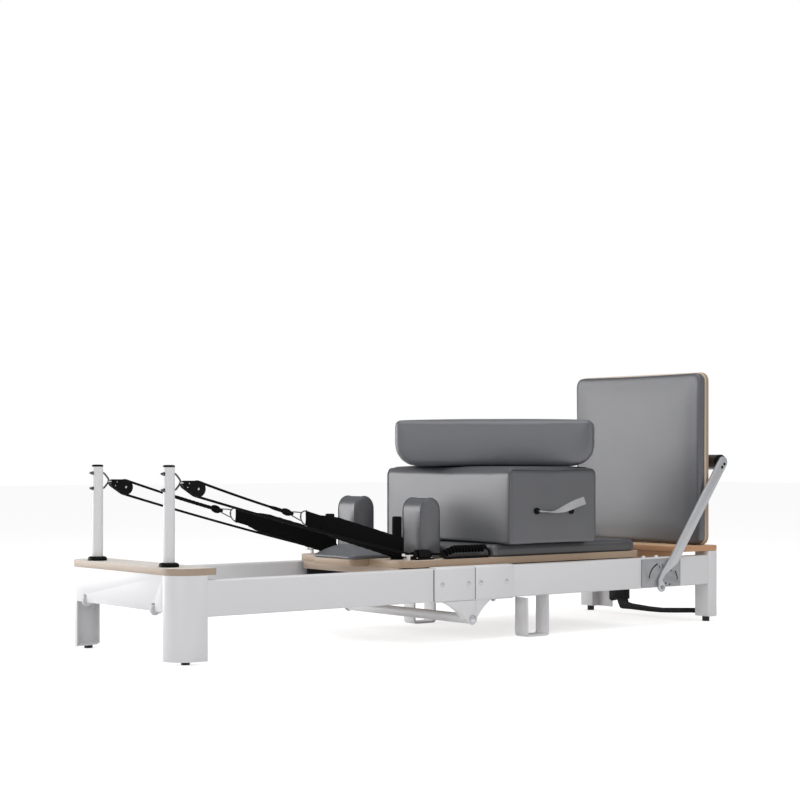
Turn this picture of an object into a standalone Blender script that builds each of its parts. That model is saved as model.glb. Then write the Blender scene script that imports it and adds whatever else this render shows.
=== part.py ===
"""Folding pilates reformer, built as separate pieces in one frame.

Metres, +Z up. X runs along the rails, from the pulley posts at the left end to the footbar at the
right end, and Y runs across. Sizes are measured from the left end plate's end, on the floor, and the
whole is then shifted so that its origin is the middle of its footprint.
"""
import math

import bmesh
import bpy
import numpy as np
from mathutils import Matrix, Vector

GAP = 0.0003                     # between pieces that touch
CROWN_STEPS = ((0.2, 0.5), (0.45, 0.85), (0.7, 1.0))    # a cushion's rise, by its share of the way in

# Frame
FRAME_LENGTH = 2.280
HALF_WIDTH = 0.330               # to the rails' outer faces
RAIL_BOTTOM = 0.136
RAIL_HEIGHT = 0.106
RAIL_WIDTH = 0.040
RAIL_WALL = 0.003
RAIL_EDGE_RADIUS = 0.006
LEDGE_WIDTH = 0.030              # inner ledge that the carriage wheels roll on
LEDGE_THICKNESS = 0.008
FOLD_X = 1.1154                  # where the two halves butt
SLEEVE_LENGTH = 0.165
SLEEVE_THICKNESS = 0.003
SLEEVE_REACH = 0.030             # over the rail's top and bottom, clear of the deck
RAIL_TOP = RAIL_BOTTOM + RAIL_HEIGHT
PLATE_BOTTOM = RAIL_TOP + 0.0145    # end plates, of plywood
PLATE_THICKNESS = 0.020
LEFT_PLATE_LENGTH = 0.138
RIGHT_PLATE_LENGTH = 0.190
RIGHT_PLATE_CORNER = 0.030
FASCIA_THICKNESS = 0.018
FASCIA_DROP = 0.060

# Left legs, bent from sheet round the corner
LEFT_LEG_RADIUS = 0.0736
LEFT_LEG_LENGTH = 0.106
LEFT_LEG_SHEET = 0.003
LEFT_LEG_FLANGE = 0.026
LEG_BOTTOM = 0.010
FOOT_PLATE = 0.004
PAD_RADIUS = 0.013
APRON_BOTTOM = RAIL_BOTTOM + 0.015
APRON_FLANGE = 0.024
APRON_SHEET = 0.003
WHEEL_Y = HALF_WIDTH - 0.126
WHEEL_RADIUS = 0.016
WHEEL_WIDTH = 0.010
WHEEL_PROUD = 0.010
WHEEL_Z = APRON_BOTTOM + 0.003
WHEEL_BORE = 0.0043
WHEEL_AXLE = 0.004
WHEEL_EAR = 0.003

# Right legs, square tube
RIGHT_LEG_X = 0.046
RIGHT_LEG_Y = 0.068
RIGHT_LEG_START = FRAME_LENGTH - 0.049
RIGHT_LEG_BOTTOM = 0.019
LEG_PANEL_X = RIGHT_LEG_START + 0.031
LEG_PANEL_Y = HALF_WIDTH - 0.142    # inner edge of the panel beside the far leg
LEG_PANEL = 0.0045
END_BEAM_HEIGHT = 0.050
END_BEAM_DEPTH = 0.030
END_BEAM_BOTTOM = RAIL_BOTTOM + 0.014

# Hinge under the butt joint
PIVOT_BACK = 0.0127              # the pivot lies this far left of the joint
PIVOT_Z = 0.0744
GUSSET_THICKNESS = 0.004
GUSSET_RADIUS = 0.019
GUSSET_REACH_LEFT = 0.134
GUSSET_REACH_RIGHT = 0.073
GUSSET_FLANGE = 0.014
GUSSET_FLANGE_START = 0.030      # up the left gusset's edge, clear of the right one when folded
HINGE_TUBE_RADIUS = 0.016
GUSSET_HOLLOW = 0.007            # how far a gusset's edge bows in
PIVOT_BOLT_RADIUS = 0.006
PIVOT_HEAD_RADIUS = 0.012
PIVOT_HEAD = 0.007

# Middle feet, bent strap, welded under the right rails beside the hinge
MID_FOOT_START = FOLD_X + 0.2303
MID_FOOT_LENGTH = 0.100
MID_FOOT_WIDTH = 0.060
MID_FOOT_STRAP = 0.006
MID_FOOT_SLIT = 0.006            # the left side stops short of the rail
MID_FOOT_INSET = 0.003

# Pulley posts
POST_X = 0.0475
POST_Y = HALF_WIDTH - 0.1175
POST_RADIUS = 0.017
POST_TOP = 0.572
POST_SEAT = 0.030                # below the plate
EYE_Z = 0.529
EYE_HALF = 0.021
EYE_WIRE = 0.003
EYE_REACH = POST_X + 0.0385
NUT_RADIUS = 0.0055
NUT_X = POST_X - POST_RADIUS - 0.006

# Pulleys
SHEAVE_X = POST_X + 0.0946
SHEAVE_Z = EYE_Z - 0.0275
SHEAVE_RADIUS = 0.0215
SHEAVE_WIDTH = 0.011
SHEAVE_GROOVE = 0.005
SHEAVE_BORE = 0.0034
SHEAVE_PIN = 0.003
BLOCK_RADIUS = 0.026
BLOCK_WIDTH = 0.019
BLOCK_SLOT = 0.0125
BLOCK_NECK_X = EYE_REACH + 0.015
BLOCK_NECK_HALF = 0.009
RING_RADIUS = 0.0080
RING_WIRE = 0.0020

# Carriage
DECK_START = 0.855
DECK_LENGTH = 1.070
DECK_HALF = HALF_WIDTH - 0.035
DECK_BOTTOM = RAIL_TOP + 0.0025
DECK_THICKNESS = 0.022
DECK_CORNER = 0.040
PAD_START = DECK_START + 0.217
PAD_END_INSET = 0.010
PAD_HALF = DECK_HALF - 0.040         # beside the hanks
PAD_WIDE = DECK_HALF - 0.007         # from the hanks to its right end
PAD_STEP_OUT = 0.018                 # radii where it widens
PAD_STEP_IN = 0.012
PAD_THICKNESS = 0.040
PAD_CORNER = 0.045
PAD_EDGE = 0.014
CROSS_BOARD_X = 0.018
CROSS_BOARD_DROP = 0.026
HEAD_BOARD_START = DECK_START - 0.070
HEAD_BOARD_HALF = 0.105
HEAD_HINGE_X = DECK_START + 0.175
HEAD_PAD_HALF = HEAD_BOARD_HALF + 0.003
HEAD_PAD_HEIGHT = 0.042
HEAD_CUT_GAP = 0.004
HEAD_PIN = 0.004
REST_X = DECK_START + 0.1217
REST_LENGTH = 0.080
REST_Y = 0.1255
REST_WIDTH = 0.102
REST_TOP = 0.463
REST_STEM = 0.010
REST_STEM_LENGTH = 0.026
PEG_X = DECK_START + 0.0567
PEG_Y = DECK_HALF - 0.1126
PEG_RADIUS = 0.0155
PEG_TOP = 0.4044
CLEAT_X = DECK_START + 0.067
CLEAT_LENGTH = 0.076
CLEAT_Y = DECK_HALF - 0.045
CLEAT_WIDTH = 0.032
CLEAT_HEIGHT = 0.033

# Carriage frame and wheels
SIDE_PLATE_Y = HALF_WIDTH - 0.068    # inner face of the steel side plates
SIDE_PLATE = 0.0035
SIDE_PLATE_BOTTOM = RAIL_BOTTOM + 0.014
SIDE_FLANGE = 0.030
FRAME_START = DECK_START + 0.021
REAR_BAR_X = DECK_START + 0.945
REAR_BAR_SIZE = 0.025
CARRIAGE_WHEEL_RADIUS = 0.020
CARRIAGE_WHEEL_WIDTH = 0.018
CARRIAGE_WHEEL_BORE = 0.0053
CARRIAGE_AXLE = 0.005
CARRIAGE_WHEEL_XS = (DECK_START + 0.075, DECK_START + 0.995)

# Springs between the carriage frame and the spring bar
SPRING_BAR_X = FRAME_LENGTH - 0.260
SPRING_BAR_SIZE = 0.030
SPRING_BAR_BOTTOM = RAIL_BOTTOM + 0.014
SPRING_RADIUS = 0.011
SPRING_YS = (-0.150, -0.050, 0.050, 0.150)
SPRING_Z = SPRING_BAR_BOTTOM + 0.055

# Footbar
FOOTBAR_PIVOT_X = FRAME_LENGTH - 0.304
FOOTBAR_PIVOT_Z = RAIL_BOTTOM + 0.001
FOOTBAR_TOP_X = FRAME_LENGTH + 0.017
FOOTBAR_TOP_Z = 0.577
FOOTBAR_PIN = 0.006
ARM_THICKNESS = 0.008
ARM_ROOT = 0.0165                # half widths of the arm, from its pivot up
ARM_NECK = 0.0085
ARM_BAR = 0.021
ARM_NECK_X = FOOTBAR_PIVOT_X - 0.0090
ARM_NECK_Z = FOOTBAR_PIVOT_Z + 0.025
ARM_BEND_X = FOOTBAR_PIVOT_X + 0.0115
ARM_BEND_Z = FOOTBAR_PIVOT_Z + 0.054
ARM_KNEE_X = FOOTBAR_PIVOT_X + 0.065
ARM_KNEE_Z = FOOTBAR_PIVOT_Z + 0.097
ROLLER_RADIUS = 0.0275
QUADRANT_START = FOOTBAR_PIVOT_X - 0.094
QUADRANT_LENGTH = 0.195
QUADRANT_THICKNESS = 0.004
QUADRANT_BOTTOM = RAIL_BOTTOM + 0.003
QUADRANT_HEIGHT = 0.099
QUADRANT_EAR = 0.013
NOTCH_WIDTH = 0.0035
SLOTS = ((0.093, 0.024, 0.058, 172, 103, 0.006), (0.128, 0.019, 0.0285, 205, 112, 0.006),
         (0.128, 0.019, 0.0520, 42, 4, 0.005))    # middle on the plate, radius, turns, width
NOTCHES = ((0.0865, 0.0765, 0.0885, 0.0655), (0.1030, 0.0800, 0.1055, 0.0660), (0.1330, 0.0620, 0.1520, 0.0530))

# Jump board, box and bolster
JUMP_X = FRAME_LENGTH - 0.058    # between its pad and its board
JUMP_HALF = HALF_WIDTH - 0.005
JUMP_HEIGHT = 0.626
JUMP_BOARD = 0.016
JUMP_PAD = 0.030
JUMP_CORNER = 0.032
BOX_START = DECK_START + 0.413
BOX_LENGTH = 0.397
BOX_HALF = HALF_WIDTH
BOX_HEIGHT = 0.257
BOX_EDGE = 0.026
BOX_CORNER = 0.012
BOLSTER_LENGTH = 0.680
BOLSTER_WIDTH = 0.300
BOLSTER_HEIGHT = 0.158
BOLSTER_TURN = math.radians(-46)
BOLSTER_UNDER = 0.074            # the long side's lower corners
BOLSTER_SHOULDER = 0.018
BOLSTER_RIM = 0.018
BOLSTER_X = BOX_START + 0.225
BOLSTER_Y = -0.006

# Ropes, straps and hanks
ROPE_RADIUS = 0.0038
ROPE_SAG = 0.005                 # of the lower run
KNOT_X = PEG_X - 0.4447
KNOT_Z = 0.428
STRAP_HEIGHT = 0.064
STRAP_BAND = 0.006
STRAP_NARROW = PEG_X - 0.3597
STRAP_LINK = 0.060               # link and ring between the rope's end and the strap
STRAP_Z = DECK_BOTTOM + 0.0605   # strap's middle where it goes round the peg
HANK_TURNS = 13
HANK_PITCH = 0.0140
HANK_COIL = 0.0092               # from the core's middle to the wrapped rope's middle
HANK_START = CLEAT_X + 0.106
HANK_END = HANK_START + HANK_TURNS * HANK_PITCH + 0.016
HANK_Y = DECK_HALF - 0.0235
HANK_Z = DECK_BOTTOM + 0.0400        # where it starts, and how far it arches up from there
HANK_RISE = 0.0130
HANK_RETURN_Y = DECK_HALF - 0.011

# Low black lifting bar between the right legs
LIFT_X = RIGHT_LEG_START + 0.024
LIFT_BRACKET_Y = 0.142
LIFT_BAND = 0.010
LIFT_OUTLINE = ((0.101, 0.0600), (0.098, 0.0435), (0.076, 0.0395), (-0.018, 0.0340), (-0.079, 0.0330),
                (-0.144, 0.0375), (-0.226, 0.0425), (-0.226, 0.0250), (-0.144, 0.0190), (-0.079, 0.0155),
                (-0.018, 0.0150), (0.076, 0.0170), (0.123, 0.0165), (0.134, 0.0190), (0.146, 0.0400),
                (0.152, 0.0600))     # the band in YZ, from the bracket along its top and back below

PLATE_TOP = PLATE_BOTTOM + PLATE_THICKNESS
DECK_TOP = DECK_BOTTOM + DECK_THICKNESS
PAD_TOP = DECK_TOP + GAP + PAD_THICKNESS
PIVOT_X = FOLD_X - PIVOT_BACK
FOOTBAR_END = FOOTBAR_TOP_X + ROLLER_RADIUS
ROPE_WRAP = SHEAVE_RADIUS - SHEAVE_GROOVE + ROPE_RADIUS + 0.0013
CENTRE_X = (FOOTBAR_END - WHEEL_PROUD) / 2
SWAP_YZ = Matrix(((1, 0, 0, 0), (0, 0, -1, 0), (0, 1, 0, 0), (0, 0, 0, 1)))
SWAP_XYZ = Matrix(((0, 0, 1, 0), (1, 0, 0, 0), (0, 1, 0, 0), (0, 0, 0, 1)))


# Scene, materials and small makers
def clear_scene():
    for obj in list(bpy.data.objects):
        bpy.data.objects.remove(obj, do_unlink=True)


def collection(name):
    made = bpy.data.collections.new(name)
    bpy.context.scene.collection.children.link(made)
    return made


def srgb(code):
    channels = [int(code[i:i + 2], 16) / 255 for i in (0, 2, 4)]
    return [c / 12.92 if c <= 0.04045 else ((c + 0.055) / 1.055) ** 2.4 for c in channels] + [1.0]


def material(name, code, roughness, metallic=0.0):
    made = bpy.data.materials.new(name)
    made.use_nodes = True
    shader = made.node_tree.nodes["Principled BSDF"]
    shader.inputs["Base Color"].default_value = srgb(code)
    shader.inputs["Roughness"].default_value = roughness
    shader.inputs["Metallic"].default_value = metallic
    return made


def add_object(name, mesh, finish=None, smooth=False):
    """A node of the reformer, under its root empty"""
    obj = bpy.data.objects.new(name, mesh)
    PARTS.objects.link(obj)
    obj.parent = ROOT
    if finish is not None:
        mesh.materials.clear()
        mesh.materials.append(finish)
    if smooth:
        mesh.shade_smooth()
        mesh.set_sharp_from_angle(angle=math.radians(35))
    return obj


def hide_cutter(obj):
    PARTS.objects.unlink(obj)
    CUTTERS.objects.link(obj)
    obj.hide_render = True
    obj.display_type = "WIRE"
    return obj


def combine(obj, tool, operation):
    """A live Boolean of obj with tool, which becomes a hidden cutter"""
    hide_cutter(tool)
    step = obj.modifiers.new(tool.name, "BOOLEAN")
    step.operation = operation
    step.object = tool
    return obj


def set_origin(obj, point):
    """Move an object's origin to a point, with its shape left in place"""
    shift = Vector(point)
    obj.data.transform(Matrix.Translation(-shift))
    obj.location = shift
    return obj


def mesh_of_curve(curve, matrix):
    temp = bpy.data.objects.new("temp", curve)
    bpy.context.scene.collection.objects.link(temp)
    graph = bpy.context.evaluated_depsgraph_get()
    graph.update()
    mesh = bpy.data.meshes.new_from_object(temp.evaluated_get(graph))
    bpy.data.objects.remove(temp, do_unlink=True)
    work = bmesh.new()
    work.from_mesh(mesh)
    bmesh.ops.remove_doubles(work, verts=work.verts, dist=1e-5)
    bmesh.ops.transform(work, matrix=matrix, verts=work.verts)
    bmesh.ops.recalc_face_normals(work, faces=work.faces)
    work.to_mesh(mesh)
    work.free()
    return mesh


def outline_curve(outlines, thickness):
    curve = bpy.data.curves.new("outline", "CURVE")
    curve.dimensions = "2D"
    curve.fill_mode = "BOTH"
    curve.extrude = thickness / 2
    for points in outlines:
        spline = curve.splines.new("POLY")
        spline.points.add(len(points) - 1)
        for slot, (u, v) in zip(spline.points, points):
            slot.co = (u, v, 0, 1)
        spline.use_cyclic_u = True
    return curve


def slab_z(name, outlines, bottom, thickness, finish=None):
    """A flat piece whose outlines lie in XY"""
    matrix = Matrix.Translation((0, 0, bottom + thickness / 2))
    return add_object(name, mesh_of_curve(outline_curve(outlines, thickness), matrix), finish)


def slab_y(name, outlines, low, thickness, finish=None):
    """A flat piece whose outlines lie in XZ, from y = low"""
    matrix = Matrix.Translation((0, low + thickness / 2, 0)) @ SWAP_YZ
    return add_object(name, mesh_of_curve(outline_curve(outlines, thickness), matrix), finish)


def slab_x(name, outlines, low, thickness, finish=None):
    """A flat or long piece whose outlines lie in YZ, from x = low"""
    matrix = Matrix.Translation((low + thickness / 2, 0, 0)) @ SWAP_XYZ
    return add_object(name, mesh_of_curve(outline_curve(outlines, thickness), matrix), finish)


def arc(cu, cv, radius, start, end, steps):
    """Points on an arc, in degrees, ends included"""
    angles = np.radians(np.linspace(start, end, steps + 1))
    return [(cu + radius * math.cos(a), cv + radius * math.sin(a)) for a in angles]


def rounded_rect(u0, v0, u1, v1, radii, steps=5):
    """A rectangle with a radius at each corner: low-low, high-low, high-high, low-high"""
    if not isinstance(radii, (tuple, list)):
        radii = (radii,) * 4
    corners = ((u0, v0, 1, 1, 180), (u1, v0, -1, 1, 270), (u1, v1, -1, -1, 0), (u0, v1, 1, -1, 90))
    points = []
    for (u, v, du, dv, start), radius in zip(corners, radii):
        if radius <= 0:
            points.append((u, v))
        else:
            points += arc(u + du * radius, v + dv * radius, radius, start, start + 90, steps)
    return points


def circle(cu, cv, radius, steps=16):
    return arc(cu, cv, radius, 0, 360 * (steps - 1) / steps, steps - 1)


def capsule_chain(stations):
    """The outline round a chain of circles (u, v, radius), as straight tangents on each side"""
    def on_circle(u, v, radius, turn):
        return u + radius * math.cos(turn), v + radius * math.sin(turn)

    def side(sign):
        rows = []
        for (u0, v0, r0), (u1, v1, r1) in zip(stations, stations[1:]):
            along = math.atan2(v1 - v0, u1 - u0)
            lean = math.acos((r0 - r1) / math.hypot(u1 - u0, v1 - v0))
            turn = along + sign * lean
            rows.append(((u0, v0, r0, turn), (u1, v1, r1, turn)))
        points = []
        for i, (first, last) in enumerate(rows):
            if i:
                middle = (rows[i - 1][1][3] + first[3]) / 2
                points.append(on_circle(*first[:3], middle))
            else:
                points.append(on_circle(*first))
        points.append(on_circle(*rows[-1][1]))
        return points, rows[0][0][3], rows[-1][1][3]
    left, left_start, left_end = side(1)
    right, right_start, right_end = side(-1)
    u, v, r = stations[-1]
    if right_end > left_end:
        right_end -= 2 * math.pi
    tip = arc(u, v, r, math.degrees(left_end), math.degrees(right_end), 8)[1:-1]
    u, v, r = stations[0]
    if left_start > right_start:
        left_start -= 2 * math.pi
    heel = arc(u, v, r, math.degrees(right_start), math.degrees(left_start), 8)[1:-1]
    return left + tip + right[::-1] + heel


def block(name, low, high, finish=None, bevel=0.0, segments=1):
    """A box between two corners, its edges rounded by bevel"""
    work = bmesh.new()
    size = Vector(high) - Vector(low)
    middle = (Vector(high) + Vector(low)) / 2
    bmesh.ops.create_cube(work, size=1, matrix=Matrix.Translation(middle) @ Matrix.Diagonal((*size, 1)))
    if bevel:
        bmesh.ops.bevel(work, geom=work.edges[:], offset=bevel, segments=segments, profile=0.5, affect="EDGES")
    mesh = bpy.data.meshes.new(name)
    work.to_mesh(mesh)
    work.free()
    return add_object(name, mesh, finish)


def rod(name, start, end, radius, finish=None, steps=16):
    """A straight round bar"""
    start, end = Vector(start), Vector(end)
    work = bmesh.new()
    turn = (end - start).to_track_quat("Z", "X").to_matrix().to_4x4()
    bmesh.ops.create_cone(work, cap_ends=True, segments=steps, radius1=radius, radius2=radius,
                          depth=(end - start).length, matrix=Matrix.Translation((start + end) / 2) @ turn)
    mesh = bpy.data.meshes.new(name)
    work.to_mesh(mesh)
    work.free()
    return add_object(name, mesh, finish, smooth=True)


def turned(name, profile, origin, axis, finish=None, steps=20):
    """A turned piece: profile of (radius, height) from its top to its bottom, closed when it has a bore"""
    work = bmesh.new()
    verts = [work.verts.new((r, 0, h)) for r, h in profile]
    for a, b in zip(verts, verts[1:]):
        work.edges.new((a, b))
    if profile[0][0] > 0:
        work.edges.new((verts[-1], verts[0]))
    bmesh.ops.spin(work, geom=work.verts[:] + work.edges[:], cent=(0, 0, 0), axis=(0, 0, 1),
                   angle=math.radians(360), steps=steps, use_merge=True)
    bmesh.ops.remove_doubles(work, verts=work.verts, dist=1e-6)
    bmesh.ops.recalc_face_normals(work, faces=work.faces)
    turn = Vector(axis).to_track_quat("Z", "X").to_matrix().to_4x4()
    bmesh.ops.transform(work, matrix=Matrix.Translation(origin) @ turn, verts=work.verts)
    mesh = bpy.data.meshes.new(name)
    work.to_mesh(mesh)
    work.free()
    return add_object(name, mesh, finish, smooth=True)


def wire(name, points, radius, finish=None, resolution=2, cyclic=False):
    """A round tube along points"""
    curve = bpy.data.curves.new(name, "CURVE")
    curve.dimensions = "3D"
    curve.bevel_depth = radius
    curve.bevel_resolution = resolution
    curve.use_fill_caps = not cyclic
    spline = curve.splines.new("POLY")
    spline.points.add(len(points) - 1)
    for slot, point in zip(spline.points, points):
        slot.co = (*point, 1)
    spline.use_cyclic_u = cyclic
    return add_object(name, mesh_of_curve(curve, Matrix.Identity(4)), finish, smooth=True)


def mirrored(obj, name):
    """The same piece on the far side, with its own mesh and the same cutters mirrored"""
    mesh = obj.data.copy()
    flip = Matrix.Diagonal((1, -1, 1, 1))
    mesh.transform(flip)
    mesh.flip_normals()
    twin = bpy.data.objects.new(name, mesh)
    PARTS.objects.link(twin)
    twin.parent = ROOT
    twin.location = (obj.location.x, -obj.location.y, obj.location.z)
    for step in obj.modifiers:
        tool = mirrored(step.object, step.object.name + "_far")
        PARTS.objects.unlink(tool)
        CUTTERS.objects.link(tool)
        tool.hide_render = True
        tool.display_type = "WIRE"
        again = twin.modifiers.new(step.name, "BOOLEAN")
        again.operation = step.operation
        again.object = tool
    return twin


def loft(name, outlines, finish, matrix):
    """A closed skin over outlines of equal length, each at its own level along Z"""
    work = bmesh.new()
    loops = []
    for outline, level in outlines:
        verts = [work.verts.new((x, y, level)) for x, y in outline]
        loops.append([work.edges.new((v, w)) for v, w in zip(verts, verts[1:] + verts[:1])])
    for under, over in zip(loops, loops[1:]):
        bmesh.ops.bridge_loops(work, edges=under + over)
    bmesh.ops.edgeloop_fill(work, edges=loops[0] + loops[-1])
    bmesh.ops.transform(work, matrix=matrix, verts=work.verts)
    bmesh.ops.recalc_face_normals(work, faces=work.faces)
    mesh = bpy.data.meshes.new(name)
    work.to_mesh(mesh)
    work.free()
    return add_object(name, mesh, finish, smooth=True)


def padded_form(name, size, radii, finish, matrix, edge, crown, base_edge=0.002, steps=3):
    """A padded block grown along its own Z from rounded rectangles, its rims rounded and its top crowned"""
    width, depth, height = size
    quarter = np.radians(np.linspace(0, 90, steps + 1))
    rim = height - crown
    levels = [(base_edge * (1 - math.sin(a)), base_edge * (1 - math.cos(a))) for a in quarter]
    levels += [(edge * (1 - math.cos(a)), rim - edge * (1 - math.sin(a))) for a in quarter]
    reach = min(width, depth) / 2 - edge
    levels += [(edge + reach * share, rim + crown * rise) for share, rise in CROWN_STEPS]
    outlines = []
    for inset, level in levels:
        shrunk = [max(radius - inset, 0.004) for radius in radii]
        half_width, half_depth = width / 2 - inset, depth / 2 - inset
        outlines.append((rounded_rect(-half_width, -half_depth, half_width, half_depth, shrunk, 4), level))
    return loft(name, outlines, finish, matrix)


def cushion(name, low, high, finish, corner, edge, crown, base_edge=0.002):
    """A lying pad between two corners"""
    size = Vector(high) - Vector(low)
    place = Matrix.Translation(((low[0] + high[0]) / 2, (low[1] + high[1]) / 2, low[2]))
    return padded_form(name, size, (corner,) * 4, finish, place, edge, crown, base_edge)


# Left half of the frame
def rail_section():
    """A rail's outline in YZ on the near side: a hollow box with the wheels' ledge on its inner side"""
    inner = -HALF_WIDTH + RAIL_WIDTH
    ledge_top = RAIL_BOTTOM + LEDGE_THICKNESS
    radius = RAIL_EDGE_RADIUS
    shell = arc(-HALF_WIDTH + radius, RAIL_TOP - radius, radius, 180, 90, 4)
    shell += arc(inner - radius, RAIL_TOP - radius, radius, 90, 0, 4)
    shell += [(inner, ledge_top), (inner + LEDGE_WIDTH, ledge_top), (inner + LEDGE_WIDTH, RAIL_BOTTOM)]
    shell += arc(-HALF_WIDTH + radius, RAIL_BOTTOM + radius, radius, 270, 180, 4)
    bore = rounded_rect(-HALF_WIDTH + RAIL_WALL, RAIL_BOTTOM + RAIL_WALL,
                        inner - RAIL_WALL, RAIL_TOP - RAIL_WALL, 0)
    return [shell, bore]


def make_rails(finish):
    left_start = LEFT_LEG_LENGTH + GAP
    right_end = RIGHT_LEG_START - GAP
    left = slab_x("left_rail_near", rail_section(), left_start, FOLD_X - GAP / 2 - left_start, finish)
    right_start = FOLD_X + GAP / 2
    right = slab_x("right_rail_near", rail_section(), right_start, right_end - right_start, finish)
    combine(right, mid_foot(), "UNION")
    mirrored(left, "left_rail_far")
    mirrored(right, "right_rail_far")


def mid_foot():
    """Bent strap foot, open along Y: a short left side, the sole and a right side that reaches the rail"""
    x0, x1 = MID_FOOT_START, MID_FOOT_START + MID_FOOT_LENGTH
    t = MID_FOOT_STRAP
    left_top = RAIL_BOTTOM - MID_FOOT_SLIT
    weld = RAIL_BOTTOM + RAIL_WALL / 2
    outline = [(x0 + t, left_top), (x0, left_top)]
    outline += arc(x0 + 2 * t, 2 * t, 2 * t, 180, 270, 3)
    outline += arc(x1 - 2 * t, 2 * t, 2 * t, 270, 360, 3)
    outline += [(x1, weld), (x1 - t, weld)]
    outline += arc(x1 - 2 * t, 2 * t, t, 0, -90, 3)
    outline += arc(x0 + 2 * t, 2 * t, t, -90, -180, 3)
    return slab_y("mid_foot_near", [outline], -HALF_WIDTH + MID_FOOT_INSET, MID_FOOT_WIDTH)


def make_left_legs(finish):
    """Sheet bent round the corner, closed below by a foot plate that carries the rubber pad"""
    r, t = LEFT_LEG_RADIUS, LEFT_LEG_SHEET
    edge_y = -HALF_WIDTH + r
    outline = arc(r, edge_y, r, 180, 270, 10)
    outline += [(LEFT_LEG_LENGTH, -HALF_WIDTH), (LEFT_LEG_LENGTH, -HALF_WIDTH + LEFT_LEG_FLANGE),
                (LEFT_LEG_LENGTH - t, -HALF_WIDTH + LEFT_LEG_FLANGE), (LEFT_LEG_LENGTH - t, -HALF_WIDTH + t)]
    outline += arc(r, edge_y, r - t, 270, 180, 10)
    leg = slab_z("left_leg_near", [outline], LEG_BOTTOM, PLATE_BOTTOM - GAP - LEG_BOTTOM, finish)
    sole = arc(r, edge_y, r - t / 2, 180, 270, 10)
    sole += [(LEFT_LEG_LENGTH - t / 2, -HALF_WIDTH + t / 2), (LEFT_LEG_LENGTH - t / 2, -HALF_WIDTH + LEFT_LEG_FLANGE - t),
             (LEFT_LEG_LENGTH / 2 + 0.027, -HALF_WIDTH + 0.060)]
    combine(leg, slab_z("leg_sole_near", [sole], LEG_BOTTOM + GAP, FOOT_PLATE), "UNION")
    pad = (LEFT_LEG_LENGTH / 2 + 0.004, -HALF_WIDTH + 0.042)
    combine(leg, rod("leg_pad_near", (*pad, 0), (*pad, LEG_BOTTOM + FOOT_PLATE / 2), PAD_RADIUS), "UNION")
    mirrored(leg, "left_leg_far")


def make_apron(finish):
    """Pressed channel between the left legs, with a notch and two ears for each transport wheel"""
    half = HALF_WIDTH - LEFT_LEG_RADIUS - GAP
    top = PLATE_BOTTOM - GAP
    t, flange = APRON_SHEET, APRON_FLANGE
    section = [(0, APRON_BOTTOM), (flange, APRON_BOTTOM), (flange, APRON_BOTTOM + t), (t, APRON_BOTTOM + t),
               (t, top - t), (flange, top - t), (flange, top), (0, top)]
    apron = slab_y("left_apron", [section], -half, 2 * half, finish)
    axle_x = WHEEL_RADIUS - WHEEL_PROUD
    for side, label in ((-1, "near"), (1, "far")):
        y = side * WHEEL_Y
        clear = WHEEL_WIDTH / 2 + 0.004
        notch = block("wheel_notch_" + label, (-t, y - clear, APRON_BOTTOM - t),
                      (flange + t, y + clear, WHEEL_Z + WHEEL_RADIUS + 0.004))
        combine(apron, notch, "DIFFERENCE")
        for ear_side in (-1, 1):
            ear_y = y + ear_side * (clear + WHEEL_EAR / 2)
            ear = block("wheel_ear_%s_%d" % (label, ear_side),
                        (t / 2, ear_y - WHEEL_EAR / 2, WHEEL_Z - 0.010),
                        (flange - t, ear_y + WHEEL_EAR / 2, WHEEL_Z + WHEEL_RADIUS + 0.012))
            combine(apron, ear, "UNION")
        axle = rod("wheel_axle_" + label, (axle_x, y - clear - WHEEL_EAR / 2, WHEEL_Z),
                   (axle_x, y + clear + WHEEL_EAR / 2, WHEEL_Z), WHEEL_AXLE)
        combine(apron, axle, "UNION")


def make_transport_wheels(finish):
    half = WHEEL_WIDTH / 2
    profile = [(WHEEL_BORE, half), (WHEEL_RADIUS * 0.62, half), (WHEEL_RADIUS - 0.003, half),
               (WHEEL_RADIUS, half - 0.003), (WHEEL_RADIUS, 0.003 - half), (WHEEL_RADIUS - 0.003, -half),
               (WHEEL_BORE, -half)]
    for side, label in ((-1, "near"), (1, "far")):
        wheel = turned("transport_wheel_" + label, profile, (0, 0, 0), (0, 1, 0), finish)
        wheel.location = (WHEEL_RADIUS - WHEEL_PROUD, side * WHEEL_Y, WHEEL_Z)


def make_left_plate(finish):
    outline = rounded_rect(0, -HALF_WIDTH, LEFT_PLATE_LENGTH, HALF_WIDTH,
                           (LEFT_LEG_RADIUS, 0.008, 0.008, LEFT_LEG_RADIUS), 8)
    holes = [circle(POST_X, side * POST_Y, POST_RADIUS + GAP, 20) for side in (-1, 1)]
    slab_z("left_plate", [outline] + holes, PLATE_BOTTOM, PLATE_THICKNESS, finish)


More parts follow.
